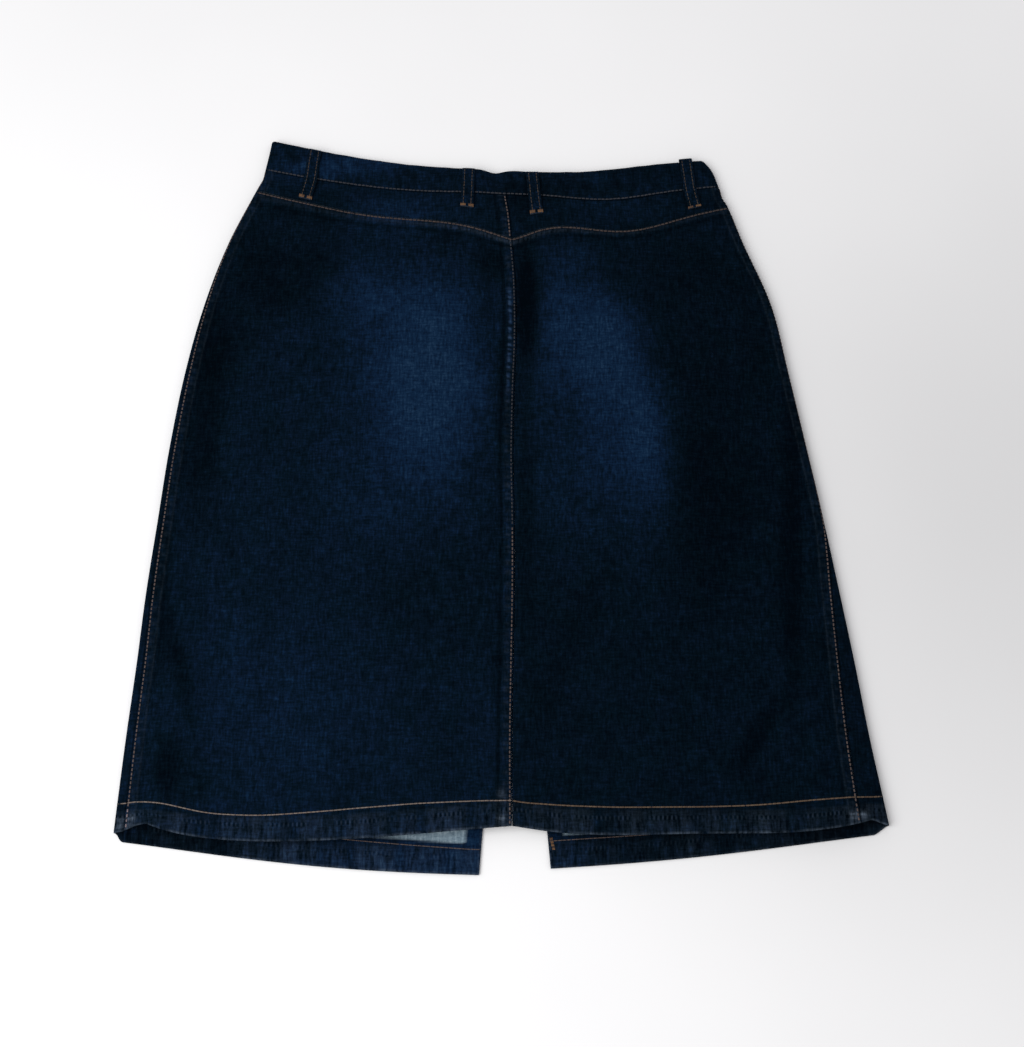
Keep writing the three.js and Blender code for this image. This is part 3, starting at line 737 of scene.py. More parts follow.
def across(start, end, count):
    """Lengths of cloth from start to end on each row, close together beside both seams."""
    low = start[:, None] + FINE[None, :]
    high = end[:, None] - FINE[::-1][None, :]
    share = np.linspace(0, 1, count)[1:-1][None, :]
    middle = mix(low[:, -1:], high[:, :1], share)
    return np.concatenate([low, middle, high], axis=1)


HEM_ROWS = np.concatenate(
    [spaced(HEM_EDGE - HEM_DEPTH - 3, HEM_EDGE - 2.4, 1.5), HEM_EDGE - np.array([1.6, 0.95, 0.45, 0.15, 0])]
)


def fade_and_shade(x, y):
    # dye fade, lighter towards the left, with the table's patches; its negative patches are partly painted
    # shade of folds and creases
    fade = 0.31 + 0.09 * smooth((40 - x) / 80)
    for fx, fy, half_x, half_y, turn, amount in FADES_AND_SHADE:
        a = math.radians(turn)
        dx = ((x - fx) * math.cos(a) + (y - fy) * math.sin(a)) / half_x
        dy = ((y - fy) * math.cos(a) - (x - fx) * math.sin(a)) / half_y
        fade = fade + amount * np.exp(-((dx * dx + dy * dy) ** 1.6))
    return fade


def back_look(outer, down, seam_side, seam_centre=None):
    """The right side of the back."""
    x, y = outer[..., 0], outer[..., 1]
    hem = HEM_EDGE - down
    fade = fade_and_shade(x, y)
    hem_fade, wear, streaks, ticks = hem_look(x, hem)
    fade = fade + hem_fade
    below_yoke = np.where(down >= YOKE_SEAM, down - YOKE_SEAM, FAR)
    near_centre = 0.3 + 0.7 * np.exp(-(((x + 10) / 80) ** 2))
    streaks = streaks + near_centre * bump(below_yoke, 5, 5)
    wear = wear + 0.16 * near_centre * bump(below_yoke, 4.6, 3)
    fade = fade - 0.14 * bump(below_yoke, 9.5, 3)
    if seam_centre is not None:
        dashes = np.clip(0.55 + 0.6 * wander(y, 33, 3.6, 9), 0, 1.2)
        high = smooth((y - 84) / 60) * smooth((221 - y) / 3)
        fade = fade + 0.68 * high * dashes * bump(seam_centre, 5.6, 2.8)
        wear = wear + 0.16 * high * dashes * bump(seam_centre, 6.2, 1.8)
        patch = bump(hem, 7, 7) + 0.4 * bump(hem, 26, 9)
        wear = wear + 0.8 * patch * bump(seam_centre, 8, 5) * (0.8 + 0.3 * wander(y, 36, 4, 12))
        wear = wear + 0.1 * np.clip(wander(y, 34, 4, 12), 0, 1) * bump(seam_centre, 5, 4.5)
        # a little paler over the felled seam, with painted shade in a line just past its edge
        fade = fade + 0.05 * bump(seam_centre, 6, 5) - 0.2 * bump(seam_centre, 11, 2.6)
    ladder = np.clip(wander(y, 35, 3.2, 9), 0, 1)
    wear = wear + 0.08 * bump(seam_side, 8.4, 1.3) + 0.08 * ladder * bump(seam_side, 4.5, 4)
    wear = wear + seam_end_wear(hem, seam_side - 5, y)
    fade = fade - 0.07 * bump(seam_side, 11, 3)
    return stack(fade, wear, 0, streaks, ticks)


def seam_end_wear(hem, beside_seam, y):
    """Pale rubbed cloth where a thick side seam meets the hem."""
    return 0.9 * bump(hem, 8, 9) * bump(beside_seam, 0, 6) * (0.8 + 0.3 * wander(y, 37, 3, 10))


def hem_look(x, hem):
    """The hem's fade, wear, streaks and the ticks of its inner edge, by the distance from its edge."""
    within = smooth((21.5 - hem) / 3)
    uneven = 1 + 0.5 * wander(x, 39, 14, 90, 5)
    streaks = within * (0.55 + 0.45 * bump(hem, 7, 9))
    ticks = bump(hem, 13.5, 2.2) * np.clip(0.45 + 0.4 * wander(x, 38, 18, 60, 4), 0, 1)
    fade = 0.04 * smooth((20 - x) / 60) * within - 0.05 * bump(hem, 19, 3) + 0.05 * uneven * bump(hem, 5, 5)
    edge = 0.75 + 0.5 * wander(x, 32, 6, 50, 6)
    wear = 0.06 * within * uneven + 0.4 * edge * smooth((2.4 - hem) / 2.2)
    return fade, wear, streaks, ticks


def even_look(points, fade, wrong=0.0):
    return stack(np.full(points.shape[:-1], float(fade)), 0, wrong, 0, 0)


def stand_for(obj, slot):
    """Rides the body in place of its solid."""
    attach(obj, "root")
    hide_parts(slot)


def declare(obj, slot, points):
    """Stands for its solid and takes the denim; the flat size and area of its cut that it measures are not
    used.
    """
    lengths = np.linalg.norm(np.diff(points, axis=1), axis=-1).sum(1)
    heights = np.linalg.norm(np.diff(points, axis=0), axis=-1).sum(0)
    flat = (float(lengths.max()) * MM, float(heights.max()) * MM)
    area = min(sheet_area(points), flat[0] * flat[1])
    stand_for(obj, slot)
    obj.data.materials.append(DENIM)


# Materials

class Nodes:
    """Short ways to add and link shader nodes."""

    def __init__(self, name):
        self.material = bpy.data.materials.new(name)
        self.material.use_nodes = True
        self.tree = self.material.node_tree
        self.shader = self.tree.nodes["Principled BSDF"]
        self.object = self.add("ShaderNodeTexCoord").outputs["Object"]

    def add(self, kind, inputs=(), **settings):
        node = self.tree.nodes.new(kind)
        for key, value in settings.items():
            setattr(node, key, value)
        for key, value in dict(inputs).items():
            self.put(node.inputs[key], value)
        return node

    def put(self, socket, value):
        if isinstance(value, bpy.types.NodeSocket):
            self.tree.links.new(value, socket)
        else:
            socket.default_value = value

    def math(self, operation, a, b=0.0, clamp=False):
        node = self.add("ShaderNodeMath", {0: a, 1: b}, operation=operation, use_clamp=clamp)
        return node.outputs[0]

    def weighted(self, terms, start=0.0):
        """The sum of start and each value times its weight."""
        total = start
        for value, weight in terms:
            node = self.add("ShaderNodeMath", {0: value, 1: weight, 2: total}, operation="MULTIPLY_ADD")
            total = node.outputs[0]
        return total

    def stretched(self, scale, turn=0.0):
        node = self.add("ShaderNodeMapping", {"Vector": self.object, "Scale": scale})
        node.inputs["Rotation"].default_value = (0, 0, turn)
        return node.outputs[0]

    def noise(self, scale, detail=2.0, roughness=0.55):
        """Noise whose grains are about 1 / scale metres wide, by axis, from 0 to 1."""
        inputs = {"Vector": self.stretched(scale), "Scale": 1.0, "Detail": detail, "Roughness": roughness}
        return self.add("ShaderNodeTexNoise", inputs).outputs[0]

    def ramp(self, value, stops):
        node = self.add("ShaderNodeValToRGB", {0: value})
        elements = node.color_ramp.elements
        while len(elements) < len(stops):
            elements.new(0.5)
        for element, (place, colour) in zip(elements, stops):
            element.position = place
            element.color = (*colour, 1)
        return node.outputs[0]

    def mix(self, share, a, b, blend="MIX"):
        node = self.add("ShaderNodeMix", data_type="RGBA", blend_type=blend)
        for socket, value in ((node.inputs[0], share), (node.inputs[6], a), (node.inputs[7], b)):
            self.put(socket, value)
        return node.outputs[2]

    def colour(self, value):
        self.put(self.shader.inputs["Base Color"], value)

    def finish(self, roughness, specular=0.5):
        self.shader.inputs["Roughness"].default_value = roughness
        self.shader.inputs["Specular IOR Level"].default_value = specular

    def bump(self, height, strength, distance):
        node = self.add("ShaderNodeBump", {"Height": height, "Strength": strength, "Distance": distance})
        self.tree.links.new(node.outputs[0], self.shader.inputs["Normal"])


def denim_material():
    """Indigo twill: dark dye that fades to a mid blue, with slubs, and a pale wrong side; the fade value also
    carries painted shade.
    """
    n = Nodes("denim")
    cloth = n.add("ShaderNodeAttribute", attribute_name="cloth").outputs["Vector"]
    fade, wear, wrong = n.add("ShaderNodeSeparateXYZ", {0: cloth}).outputs
    sewn = n.add("ShaderNodeAttribute", attribute_name="sewn").outputs["Vector"]
    streaked, ticked, _ = n.add("ShaderNodeSeparateXYZ", {0: sewn}).outputs
    warp = n.noise((580, 110, 300), 2)
    weft = n.noise((110, 580, 300), 2)
    fine = n.noise((640, 640, 640), 2, 0.7)
    cloud = n.noise((46, 34, 40), 3, 0.6)
    grain = n.weighted([(warp, 1.25), (weft, 1.0), (fine, 0.8)])
    patch = n.noise((150, 120, 140), 2, 0.6)
    streak = n.math("SUBTRACT", n.noise((330, 55, 90), 3, 0.6), 0.5)
    row = n.add(
        "ShaderNodeTexWave",
        {"Vector": n.object, "Scale": 89.0, "Distortion": 1.5, "Detail Scale": 0.6},
    )
    level = n.weighted([(fade, 1.0), (grain, 0.56), (cloud, 0.24), (patch, 0.26)], -0.5 * (0.56 * 3.05 + 0.5))
    streak = n.math("MULTIPLY", streaked, streak)
    tick = n.math("MULTIPLY", ticked, n.math("SUBTRACT", row.outputs[1], 0.55))
    level = n.weighted([(streak, 1.2), (tick, 0.4)], level)
    right_side = n.ramp(
        level,
        [
            (0.0, srgb(0.4, 5, 12)),
            (0.2, srgb(2, 10, 19)),
            (0.35, srgb(4, 15, 26)),
            (0.5, srgb(7, 20, 36)),
            (0.65, srgb(10, 27, 49)),
            (0.8, srgb(14, 35, 59)),
            (1.0, srgb(27, 49, 73)),
        ],
    )
    teal = n.ramp(n.noise((62, 50, 60), 2), [(0.4, (0, 0, 0)), (0.62, (1, 1, 1))])
    unfaded = n.math("SUBTRACT", 1.9, n.math("MULTIPLY", fade, 2.8), clamp=True)
    teal = n.math("MULTIPLY", n.math("MULTIPLY", teal, unfaded), 0.32)
    right_side = n.mix(teal, right_side, (0.55, 1.05, 0.78, 1), "MULTIPLY")
    worn = n.math("MULTIPLY", wear, n.weighted([(grain, 0.9), (streak, 2.5)], -0.85))
    worn = n.math("ADD", worn, n.math("MULTIPLY", tick, 0.3), clamp=True)
    right_side = n.mix(worn, right_side, (*srgb(84, 96, 110), 1))
    wrong_side = n.ramp(
        n.weighted([(grain, 0.33)]),
        [(0.3, srgb(76, 94, 108)), (0.5, srgb(118, 137, 149)), (0.7, srgb(164, 180, 190))],
    )
    n.colour(n.mix(wrong, right_side, wrong_side))
    n.finish(0.9, 0.015)
    slanted = n.stretched((1, 1, 1), math.radians(58))
    twill = n.add(
        "ShaderNodeTexWave",
        {"Vector": slanted, "Scale": 330.0, "Distortion": 1.6, "Detail": 1.0},
    )
    n.bump(n.weighted([(twill.outputs[1], 0.35), (grain, 0.6)]), 0.5, 0.0004)
    return n.material


def thread_material(name, colour, dark):
    """Twisted sewing thread, uneven in its dye."""
    n = Nodes(name)
    wear = n.noise((420, 420, 420), 3)
    n.colour(n.ramp(wear, [(0.3, dark), (0.62, colour)]))
    n.finish(0.6, 0.25)
    twist = n.add("ShaderNodeTexWave", {"Vector": n.stretched((1, 1, 1), 0.6), "Scale": 1500.0})
    n.bump(twist.outputs[1], 0.4, 0.0001)
    return n.material


def metal_material(name, bright, dull):
    """Antiqued metal, darker in its hollows."""
    n = Nodes(name)
    worn = n.noise((700, 700, 700), 4, 0.65)
    n.colour(n.ramp(worn, [(0.36, dull), (0.62, bright)]))
    n.put(n.shader.inputs["Roughness"], n.math("MULTIPLY_ADD", worn, 0.3))
    n.shader.inputs["Metallic"].default_value = 1.0
    n.bump(n.noise((2500, 2500, 2500), 2), 0.15, 0.0002)
    return n.material


def tape_material():
    """Woven zip tape: fine ribs along its length."""
    n = Nodes("zip_tape_weave")
    ribs = n.add("ShaderNodeTexWave", {"Vector": n.object, "Scale": 320.0}, bands_direction="X")
    stops = [(0.2, (0.004, 0.007, 0.014)), (0.8, (0.012, 0.018, 0.032))]
    n.colour(n.ramp(ribs.outputs[1], stops))
    n.finish(0.8)
    n.bump(ribs.outputs[1], 0.5, 0.0003)
    return n.material


def floor_material():
    """Matt white, with painted shade over a broad place at the right."""
    n = Nodes("floor")
    white = n.ramp(n.noise((3, 3, 3), 2), [(0.3, (0.90, 0.90, 0.90)), (0.7, (0.93, 0.93, 0.93))])
    place = n.add("ShaderNodeMapping", {"Vector": n.object}, vector_type="TEXTURE")
    place.inputs["Location"].default_value = FLOOR_SHADE_PLACE
    place.inputs["Scale"].default_value = (FLOOR_SHADE_RADIUS, FLOOR_SHADE_RADIUS, 1)
    near = n.add("ShaderNodeTexGradient", {"Vector": place.outputs[0]}, gradient_type="SPHERICAL")
    dim = n.add("ShaderNodeMapRange", {"Value": near.outputs[1]}, interpolation_type="SMOOTHSTEP")
    n.colour(n.mix(n.math("MULTIPLY", dim.outputs[0], FLOOR_SHADE_SHARE), white, (0, 0, 0, 1)))
    n.finish(0.95, 0.0)
    return n.material


DENIM = denim_material()
THREAD = {
    name: thread_material("thread_" + name, srgb(*colour), srgb(*hollow))
    for name, (colour, hollow) in THREADS.items()
}


# Back of the skirt

def back_piece(name, side, start, end, spacing, columns):
    half = SEAM_GAP / 2
    ends_at_hem = end == HEM_EDGE
    body = spaced(start + FINE[-1], HEM_ROWS[0] if ends_at_hem else end - FINE[-1], spacing)
    tail = HEM_ROWS[1:] if ends_at_hem else (end - FINE[::-1])[1:]
    rows = np.concatenate([start + FINE[:-1], body, tail])
    low = side_seam(rows, side) + half
    high = centre_cloth(rows, side) - half
    cloth = across(low, high, columns)
    down = rows.copy()
    down[0] = beside(rows[0], half, side, "back")
    if not ends_at_hem:
        down[-1] = beside(rows[-1], -half, side, "back")
    down = np.broadcast_to(down[:, None], cloth.shape)
    from_side = cloth - low[:, None]
    from_centre = high[:, None] - cloth
    from_top = (rows - start)[:, None] + np.zeros_like(cloth)
    from_hem = (HEM_EDGE - rows)[:, None] + np.zeros_like(cloth)
    proud = back_proud(side, np.broadcast_to(rows[:, None], cloth.shape), cloth)
    edge = round_edge(np.minimum(from_side, from_centre))
    edge = np.maximum(edge, round_edge(from_top))
    thickness = CLOTH + np.where(from_hem < HEM_DEPTH, HEM_EXTRA, 0)
    if ends_at_hem:
        turn = hem_turn(from_hem)
        edge = np.maximum(edge, turn)
        thickness = thickness - turn
    outer, inner = layer_point(down, side, "back", cloth, thickness, proud, edge)
    look = back_look(outer, down, from_side, from_centre if side < 0 else None)
    hidden = even_look(inner, 0.3, wrong=np.where(from_hem < HEM_DEPTH, 0.0, 1.0))
    return shell(name, outer, inner, look, hidden), outer


def make_back():
    for word, side in (("left", -1), ("right", 1)):
        panel, outer = back_piece(f"back_panel_shell_{word}", side, YOKE_SEAM, HEM_EDGE, 2.2, 116)
        declare(panel, f"back_panel_{word}", outer)
        yoke, outer = back_piece(f"back_yoke_shell_{word}", side, BAND_SEAM, YOKE_SEAM, 2.0, 96)
        declare(yoke, f"back_yoke_{word}", outer)


# Front of the skirt

def slit_half(down, side):
    opened = SLIT_GAP * np.clip((down - SLIT_TOP) / (HEM_EDGE - SLIT_TOP), 0, 1) ** SLIT_CURVE
    return opened * (SLIT_LEFT_SHARE if side < 0 else 1 - SLIT_LEFT_SHARE)


def front_rows():
    body = spaced(BAND_SEAM + FINE[-1], HEM_ROWS[0] - 8, 3.4)
    above_hem = spaced(HEM_ROWS[0] - 6.5, HEM_ROWS[0], 1.3)
    rows = np.concatenate([BAND_SEAM + FINE[:-1], body, above_hem, HEM_ROWS[1:]])
    return np.sort(np.concatenate([rows, SLIT_TOP + np.array([0.3, 0.8, 1.5])]))


def inside_fade_and_shadow(x):
    """The dye on the front's inner face, which shows past the back's hem, with painted shadow from the back's
    hem towards both ends.
    """
    # the falls at the far left and the far right are painted shadow under the back's hem
    fade = 0.3 + 0.2 * smooth((20 - x) / 60) - 0.3 * smooth((-150 - x) / 110)
    fade = fade - 0.06 * smooth((x - 90) / 60)
    fade = fade + 0.2 * bump(x, -30, 110) + 0.12 * bump(x, 45, 40)
    return fade - 0.14 * smooth((x - 190) / 60)


def inside_wear(x, down, wear, from_slit):
    slit_edge = smooth((2.4 - from_slit) / 2)
    # less pale wear at the far left, where the painted shadow under the back's hem falls
    worn = wear * (0.45 + 0.55 * smooth((20 - x) / 60)) * (1 - 0.7 * smooth((-190 - x) / 60))
    return worn + 0.3 * slit_edge * (0.8 + 0.4 * wander(down, 40, 3, 9))


def front_stretch(side, rows, down, layer, cloth, puckered):
    """A stretch of the front: under the skirt, round the side fold, or over it to the back's side seam."""
    from_hem = (HEM_EDGE - rows)[:, None]
    turn = hem_turn(from_hem)
    spread = np.broadcast_to(down[:, None], cloth.shape)
    faced = np.zeros(cloth.shape, bool)
    from_slit = from_seam = np.full(cloth.shape, FAR)
    edge = turn + np.zeros_like(cloth)
    if layer == "front":
        from_slit = slit_edge_cloth(rows, side)[:, None] - cloth
        faced = (from_slit < SLIT_FACING) & (spread > SLIT_TOP)
        edge = np.where(faced, np.maximum(edge, round_edge(from_slit)), edge)
    else:
        from_seam = over_edge_cloth(rows, side)[:, None] - cloth
        edge = np.maximum(edge, round_edge(from_seam))
    hem_line = front_hem_line(plan_x(spread, side, layer, cloth))
    hemmed = smooth((spread - hem_line + HEM_FOLDED) / 1.6 + 0.5)
    thickness = CLOTH + np.maximum(HEM_EXTRA * hemmed, np.where(faced, FACING_EXTRA, 0)) - turn
    if layer == "front":
        thickness = thickness - STITCH_ROOM
    outer, inner = layer_point(spread, side, layer, cloth, thickness, 0.0, edge)
    x = inner[..., 0]
    if puckered:
        wave, _ = hem_pucker(x + FRONT_WAVE_SHIFT, spread)
        pucker = 0.3 * wave * bump(from_hem, 11, 12) * smooth((cloth - QUARTER) / 12)
        inner[..., 2] += np.clip(pucker, -0.3, 0.6)
        inner[..., 2] -= 0.3 * (1 - smooth(from_slit)) * faced
    return outer, inner, spread, np.maximum(hemmed, faced), x, np.where(faced, from_slit, FAR), from_seam


def slit_edge_cloth(rows, side):
    return centre_cloth(rows, side, "front") - SEAM_GAP / 2 - slit_half(rows, side)


def over_edge_cloth(rows, side):
    return np.maximum(0, side_seam(rows, side) - SEAM_GAP / 2)


def front_panel(name, side):
    rows = front_rows()
    down = rows.copy()
    down[0] = beside(rows[0], SEAM_GAP / 2, side, "front")
    under = across(np.full_like(rows, QUARTER), slit_edge_cloth(rows, side), 74)[:, ::-1]
    fold = np.broadcast_to(np.linspace(QUARTER, 0, 9)[None, 1:], (len(rows), 8))
    over = over_edge_cloth(rows, side)[:, None] * (np.linspace(0, 1, 13)[1:] ** 1.2)[None, :]
    stretches = [
        front_stretch(side, rows, down, "front", under, True),
        front_stretch(side, rows, down, "front", fold, False),
        front_stretch(side, rows, down, "back", over, False),
    ]
    outer, inner, spread, turned, x, from_slit, from_seam = (
        np.concatenate(values, axis=1) for values in zip(*stretches)
    )
    hem = HEM_EDGE - spread
    hem_fade, wear, streaks, ticks = hem_look(x + FRONT_WAVE_SHIFT, hem)
    worn_inside = inside_wear(x, spread, wear, from_slit)
    inner_look = stack(inside_fade_and_shadow(x) + hem_fade, worn_inside, 1 - turned, streaks, 0.5 * ticks)
    wear = wear + seam_end_wear(hem, from_seam - 3, outer[..., 1])
    fade = fade_and_shade(outer[..., 0], outer[..., 1]) + hem_fade
    outer_look = stack(fade, wear, 0, streaks, ticks)
    return shell(name, outer, inner, outer_look, inner_look), outer


def make_front():
    for word, side in (("left", -1), ("right", 1)):
        panel, outer = front_panel(f"front_panel_shell_{word}", side)
        declare(panel, f"front_panel_{word}", outer)


# Waistband

def band_segment(rows, side, layer, cloth, lapped=False):
    half = SEAM_GAP / 2
    down = rows.copy()
    down[-1] = beside(rows[-1], -half, side, layer)
    down = np.broadcast_to(down[:, None], cloth.shape)
    proud = BAND_PROUD if layer == "back" else 0.0
    outer, inner = layer_point(down, side, layer, cloth, BAND, proud)
    if lapped:
        ramp = smooth((outer[..., 0] - LAP_RAMP_FROM) / (LAP_RAMP_TO - LAP_RAMP_FROM))
        outer[..., 2] += ramp * (BAND + SEAM_GAP)
        inner[..., 2] += ramp * (BAND + SEAM_GAP)
    middle = (outer + inner) / 2
    top = np.sqrt(1 - np.clip(1 - rows / 1.8, 0, 0.97) ** 2)
    bottom = 1 - 0.35 * np.clip(1 - (BAND_SEAM - rows) / 0.8, 0, 1) ** 2
    rim = (top * bottom)[:, None, None]
    return middle + (outer - middle) * rim, middle + (inner - middle) * rim


def make_waistband():
    body = spaced(3.2, BAND_SEAM - 1.6, 1.5)
    rows = np.concatenate([[0, 0.3, 0.7, 1.2, 1.9], body, BAND_SEAM - np.array([1, 0.5, 0])])
    full = {side: centre_cloth(rows, side)[:, None] for side in (-1, 1)}
    fold = np.broadcast_to(np.linspace(0, QUARTER, 9)[None, :], (len(rows), 9))

    def lap_end(x, side):
        edge, _, _, _ = half_row(rows, side, "front")
        return cloth_at(np.abs(x - edge))[:, None]

    def run(low, high, count, reverse=False):
        share = np.linspace(0, 1, count)[None, 1:]
        cloth = mix(low, high, share)
        return cloth[:, ::-1] if reverse else cloth

    segments = [
        (1, "front", run(QUARTER, lap_end(LAP_OUTER_X, 1), 90, True), False),
        (1, "front", fold[:, ::-1], False),
        (1, "back", fold[:, 1:], False),
        (1, "back", run(QUARTER, full[1], 92), False),
        (-1, "back", run(QUARTER, full[-1], 104, True)[:, 1:], False),
        (-1, "back", fold[:, ::-1], False),
        (-1, "front", fold[:, 1:], True),
        (-1, "front", run(QUARTER, lap_end(LAP_INNER_X, -1), 110), True),
    ]
    made = [band_segment(rows, side, layer, cloth, lapped) for side, layer, cloth, lapped in segments]
    outer = np.concatenate([m[0] for m in made], axis=1)
    inner = np.concatenate([m[1] for m in made], axis=1)
    down = np.broadcast_to(rows[:, None], outer.shape[:2])
    x, y = outer[..., 0], outer[..., 1]
    wear = 0.16 * smooth((2.2 - down) / 2.2) * (0.8 + 0.5 * wander(x, 51, 8, 50, 4))
    slant = wander(x - 0.6 * down, 23, 9, 40, 6) * bump(down, 11, 12)
    pucker = wander(x, 52, 4, 12) * bump(down, BAND_SEAM - 5, 6)
    # the dip at the lower seam is painted shade along the band's lower edge
    fade = fade_and_shade(x, y) + 0.07 * slant + 0.05 * pucker - 0.1 * bump(down, BAND_SEAM, 1.2)
    look = stack(fade, wear, 0, 0.3 * bump(down, BAND_SEAM - 5, 6), 0)
    obj = shell("waistband_shell", outer, inner, look, look)
    cut_buttonhole(obj)
    declare(obj, "waistband", outer)


def cut_buttonhole(obj):
    half_x, half_y = HOLE_LENGTH / 2, HOLE_WIDTH / 2
    turns = np.linspace(0, 2 * np.pi, 40, endpoint=False)
    ring = [(BUTTON_X + half_x * math.cos(a), BUTTON_Y + half_y * math.sin(a)) for a in turns]
    low, high = BUTTON_LIFT - 1, BUTTON_LIFT + BAND + SEAM_GAP / 2
    points = [(x, y, low) for x, y in ring] + [(x, y, high) for x, y in ring]
    count = len(ring)
    faces = [[k, (k + 1) % count, count + (k + 1) % count, count + k] for k in range(count)]
    faces += [list(range(count))[::-1], list(range(count, 2 * count))]
    cutter = new_object("cutter", np.array(points), faces)
    modifier = obj.modifiers.new("hole", "BOOLEAN")
    modifier.object = cutter
    modifier.solver = "EXACT"
    graph = bpy.context.evaluated_depsgraph_get()
    cut = bpy.data.meshes.new_from_object(obj.evaluated_get(graph))
    obj.modifiers.clear()
    whole = KDTree(len(obj.data.vertices))
    for vertex in obj.data.vertices:
        whole.insert(vertex.co, vertex.index)
    whole.balance()
    nearest = [whole.find(vertex.co)[1] for vertex in cut.vertices]
    look = look_of(obj.data)[nearest]
    obj.data = cut
    set_look(cut, look)
    bpy.data.objects.remove(cutter)


# Belt loops

def loop_points(layer, top_x, bottom_x, top, bottom, along, across_share):
    """Face of the waistband, and how far out the loop stands from it."""
    down = mix(top, bottom, along)
    x = mix(top_x, bottom_x, along) + across_share * LOOP_WIDTH / 2
    side = -1 if np.mean(x) < float(outline_at(20)[2]) else 1
    edge, _, _, _ = half_row(down, side, layer)
    inward = np.abs(x - edge)
    px, py = plan(down, side, layer, inward)
    if layer == "back":
        face = back_height(down, inward, px, py)
        stand = LOOP_STANDOFF * np.sin(np.pi * along) ** 0.6
        away = LOOP_CLEARANCE + BAND_PROUD * smooth((BAND_SEAM + LOOP_WIDTH - down) / LOOP_WIDTH) + stand
    else:
        face = front_height(px, py)
        away = np.full_like(px, LOOP_CLEARANCE)
    return px, py, face, away


def make_loop(name, layer, top_x, bottom_x, top, bottom):
    up = 1 if layer == "back" else -1
    length = bottom - top
    body = spaced(3, length - 4.4, 1.4)
    along = np.concatenate([[0, 0.3, 0.8, 1.6], body, length - np.array([3.4, 2.6, 1.8, 0.9, 0.3, 0])])
    half = np.array([0.2, 0.4, 0.6, 0.76, 0.88, 0.97, 1])
    share = np.concatenate([-half[::-1], [0], half])
    along, share = np.broadcast_arrays((along / length)[:, None], share[None, :])
    px, py, face, away = loop_points(layer, top_x, bottom_x, top, bottom, along, share)
    crown = 0.55 * np.clip((np.abs(share) - 0.7) / 0.3, 0, 1) ** 2
    groove = 0.16 * np.exp(-((np.abs(share) - 0.58) / 0.1) ** 2)
    hollow = 0.12 * np.exp(-((share / 0.3) ** 2))
    ends = np.minimum(along, 1 - along) * length
    crown = crown + 0.5 * np.clip(1 - ends / 1.6, 0, 1) ** 2
    ripple = 0.12 * wander(along * length, 61 + int(top_x) % 7, 5, 16)
    tack = 0.35 * bump((1 - along) * length, 2.4, 2.6)
    sunk = crown + groove + hollow + tack - ripple * (layer == "back")
    end_share = np.clip(1 - ends / 1.6, 0, 1)
    outer_z = face + up * (away + LOOP_THICKNESS - sunk)
    inner_z = face + up * (away + 0.15 * end_share)
    outer, inner = stack(px, py, outer_z), stack(px, py, inner_z)
    patchy = wander(along * length + 40 * share, 66, 4, 12)
    wear = 0.3 * end_share + 0.1 * np.clip(patchy, 0, 1) * bump(np.abs(share), 0.75, 0.3)
    look = stack(0.4 + 0.1 * patchy - 0.14 * bump(np.abs(share), 1, 0.3), wear, 0, 0, 0)
    obj = shell(name + "_shell", outer, inner, look, look)
    declare(obj, name, outer)


# Sewing

def unit(vectors):
    return vectors / np.linalg.norm(vectors, axis=-1, keepdims=True)


def stitch_mesh(paths, length, width, height, pitch, seed):
    """Points and faces of one small lozenge of thread for each stitch along each path.

    A path is its points and, for each, the way out of the cloth.
    """
    draw = random.Random(seed)
    stations = np.array([-1, -0.62, 0.62, 1])
    radius = np.array([0.4, 1, 1, 0.4])
    sink = np.array([1, 0.15, 0.15, 1])
    sides = 6
    angles = np.linspace(0, 2 * np.pi, sides, endpoint=False)
    points, faces = [], []
    total = 0
    for path, normals in paths:
        steps = np.linalg.norm(np.diff(path, axis=0), axis=1)
        s = np.concatenate([[0], np.cumsum(steps)])
        count = max(1, round(s[-1] / pitch))
        at = (np.arange(count) + 0.5) * s[-1] / count
        at = at + np.array([draw.uniform(-0.05, 0.05) for _ in range(count)]) * pitch
        half = length / 2 * np.array([draw.uniform(0.93, 1.05) for _ in range(count)])

        def sample(values, where):
            return np.stack([np.interp(where, s, values[:, k]) for k in range(3)], axis=-1)

        a, b = sample(path, at - half), sample(path, at + half)
        normal = unit(sample(normals, at))
        side = np.cross(normal, unit(b - a))
        for k, (u, r, d) in enumerate(zip(stations, radius, sink)):
            middle = mix(a, b, (u + 1) / 2) + normal * height * (0.25 - 0.6 * d)
            ring = (
                middle[:, None, :]
                + side[:, None, :] * (np.cos(angles) * width / 2 * r)[None, :, None]
                + normal[:, None, :] * (np.sin(angles) * height / 2 * r)[None, :, None]
            )
            points.append((total, k, ring))
        base = total + np.arange(count)[:, None] * (4 * sides)
        for k in range(3):
            for j in range(sides):
                j2 = (j + 1) % sides
                quad = np.array([k * sides + j, k * sides + j2, (k + 1) * sides + j2, (k + 1) * sides + j])
                faces.extend((base + quad[None, :]).tolist())
        faces.extend((base + np.arange(sides)[None, ::-1]).tolist())
        faces.extend((base + 3 * sides + np.arange(sides)[None, :]).tolist())
        total += count * 4 * sides
    out = np.zeros((total, 3))
    for start, k, ring in points:
        count = ring.shape[0]
        rows = start + np.arange(count)[:, None] * (4 * sides) + k * sides + np.arange(sides)[None, :]
        out[rows] = ring
    return out, faces


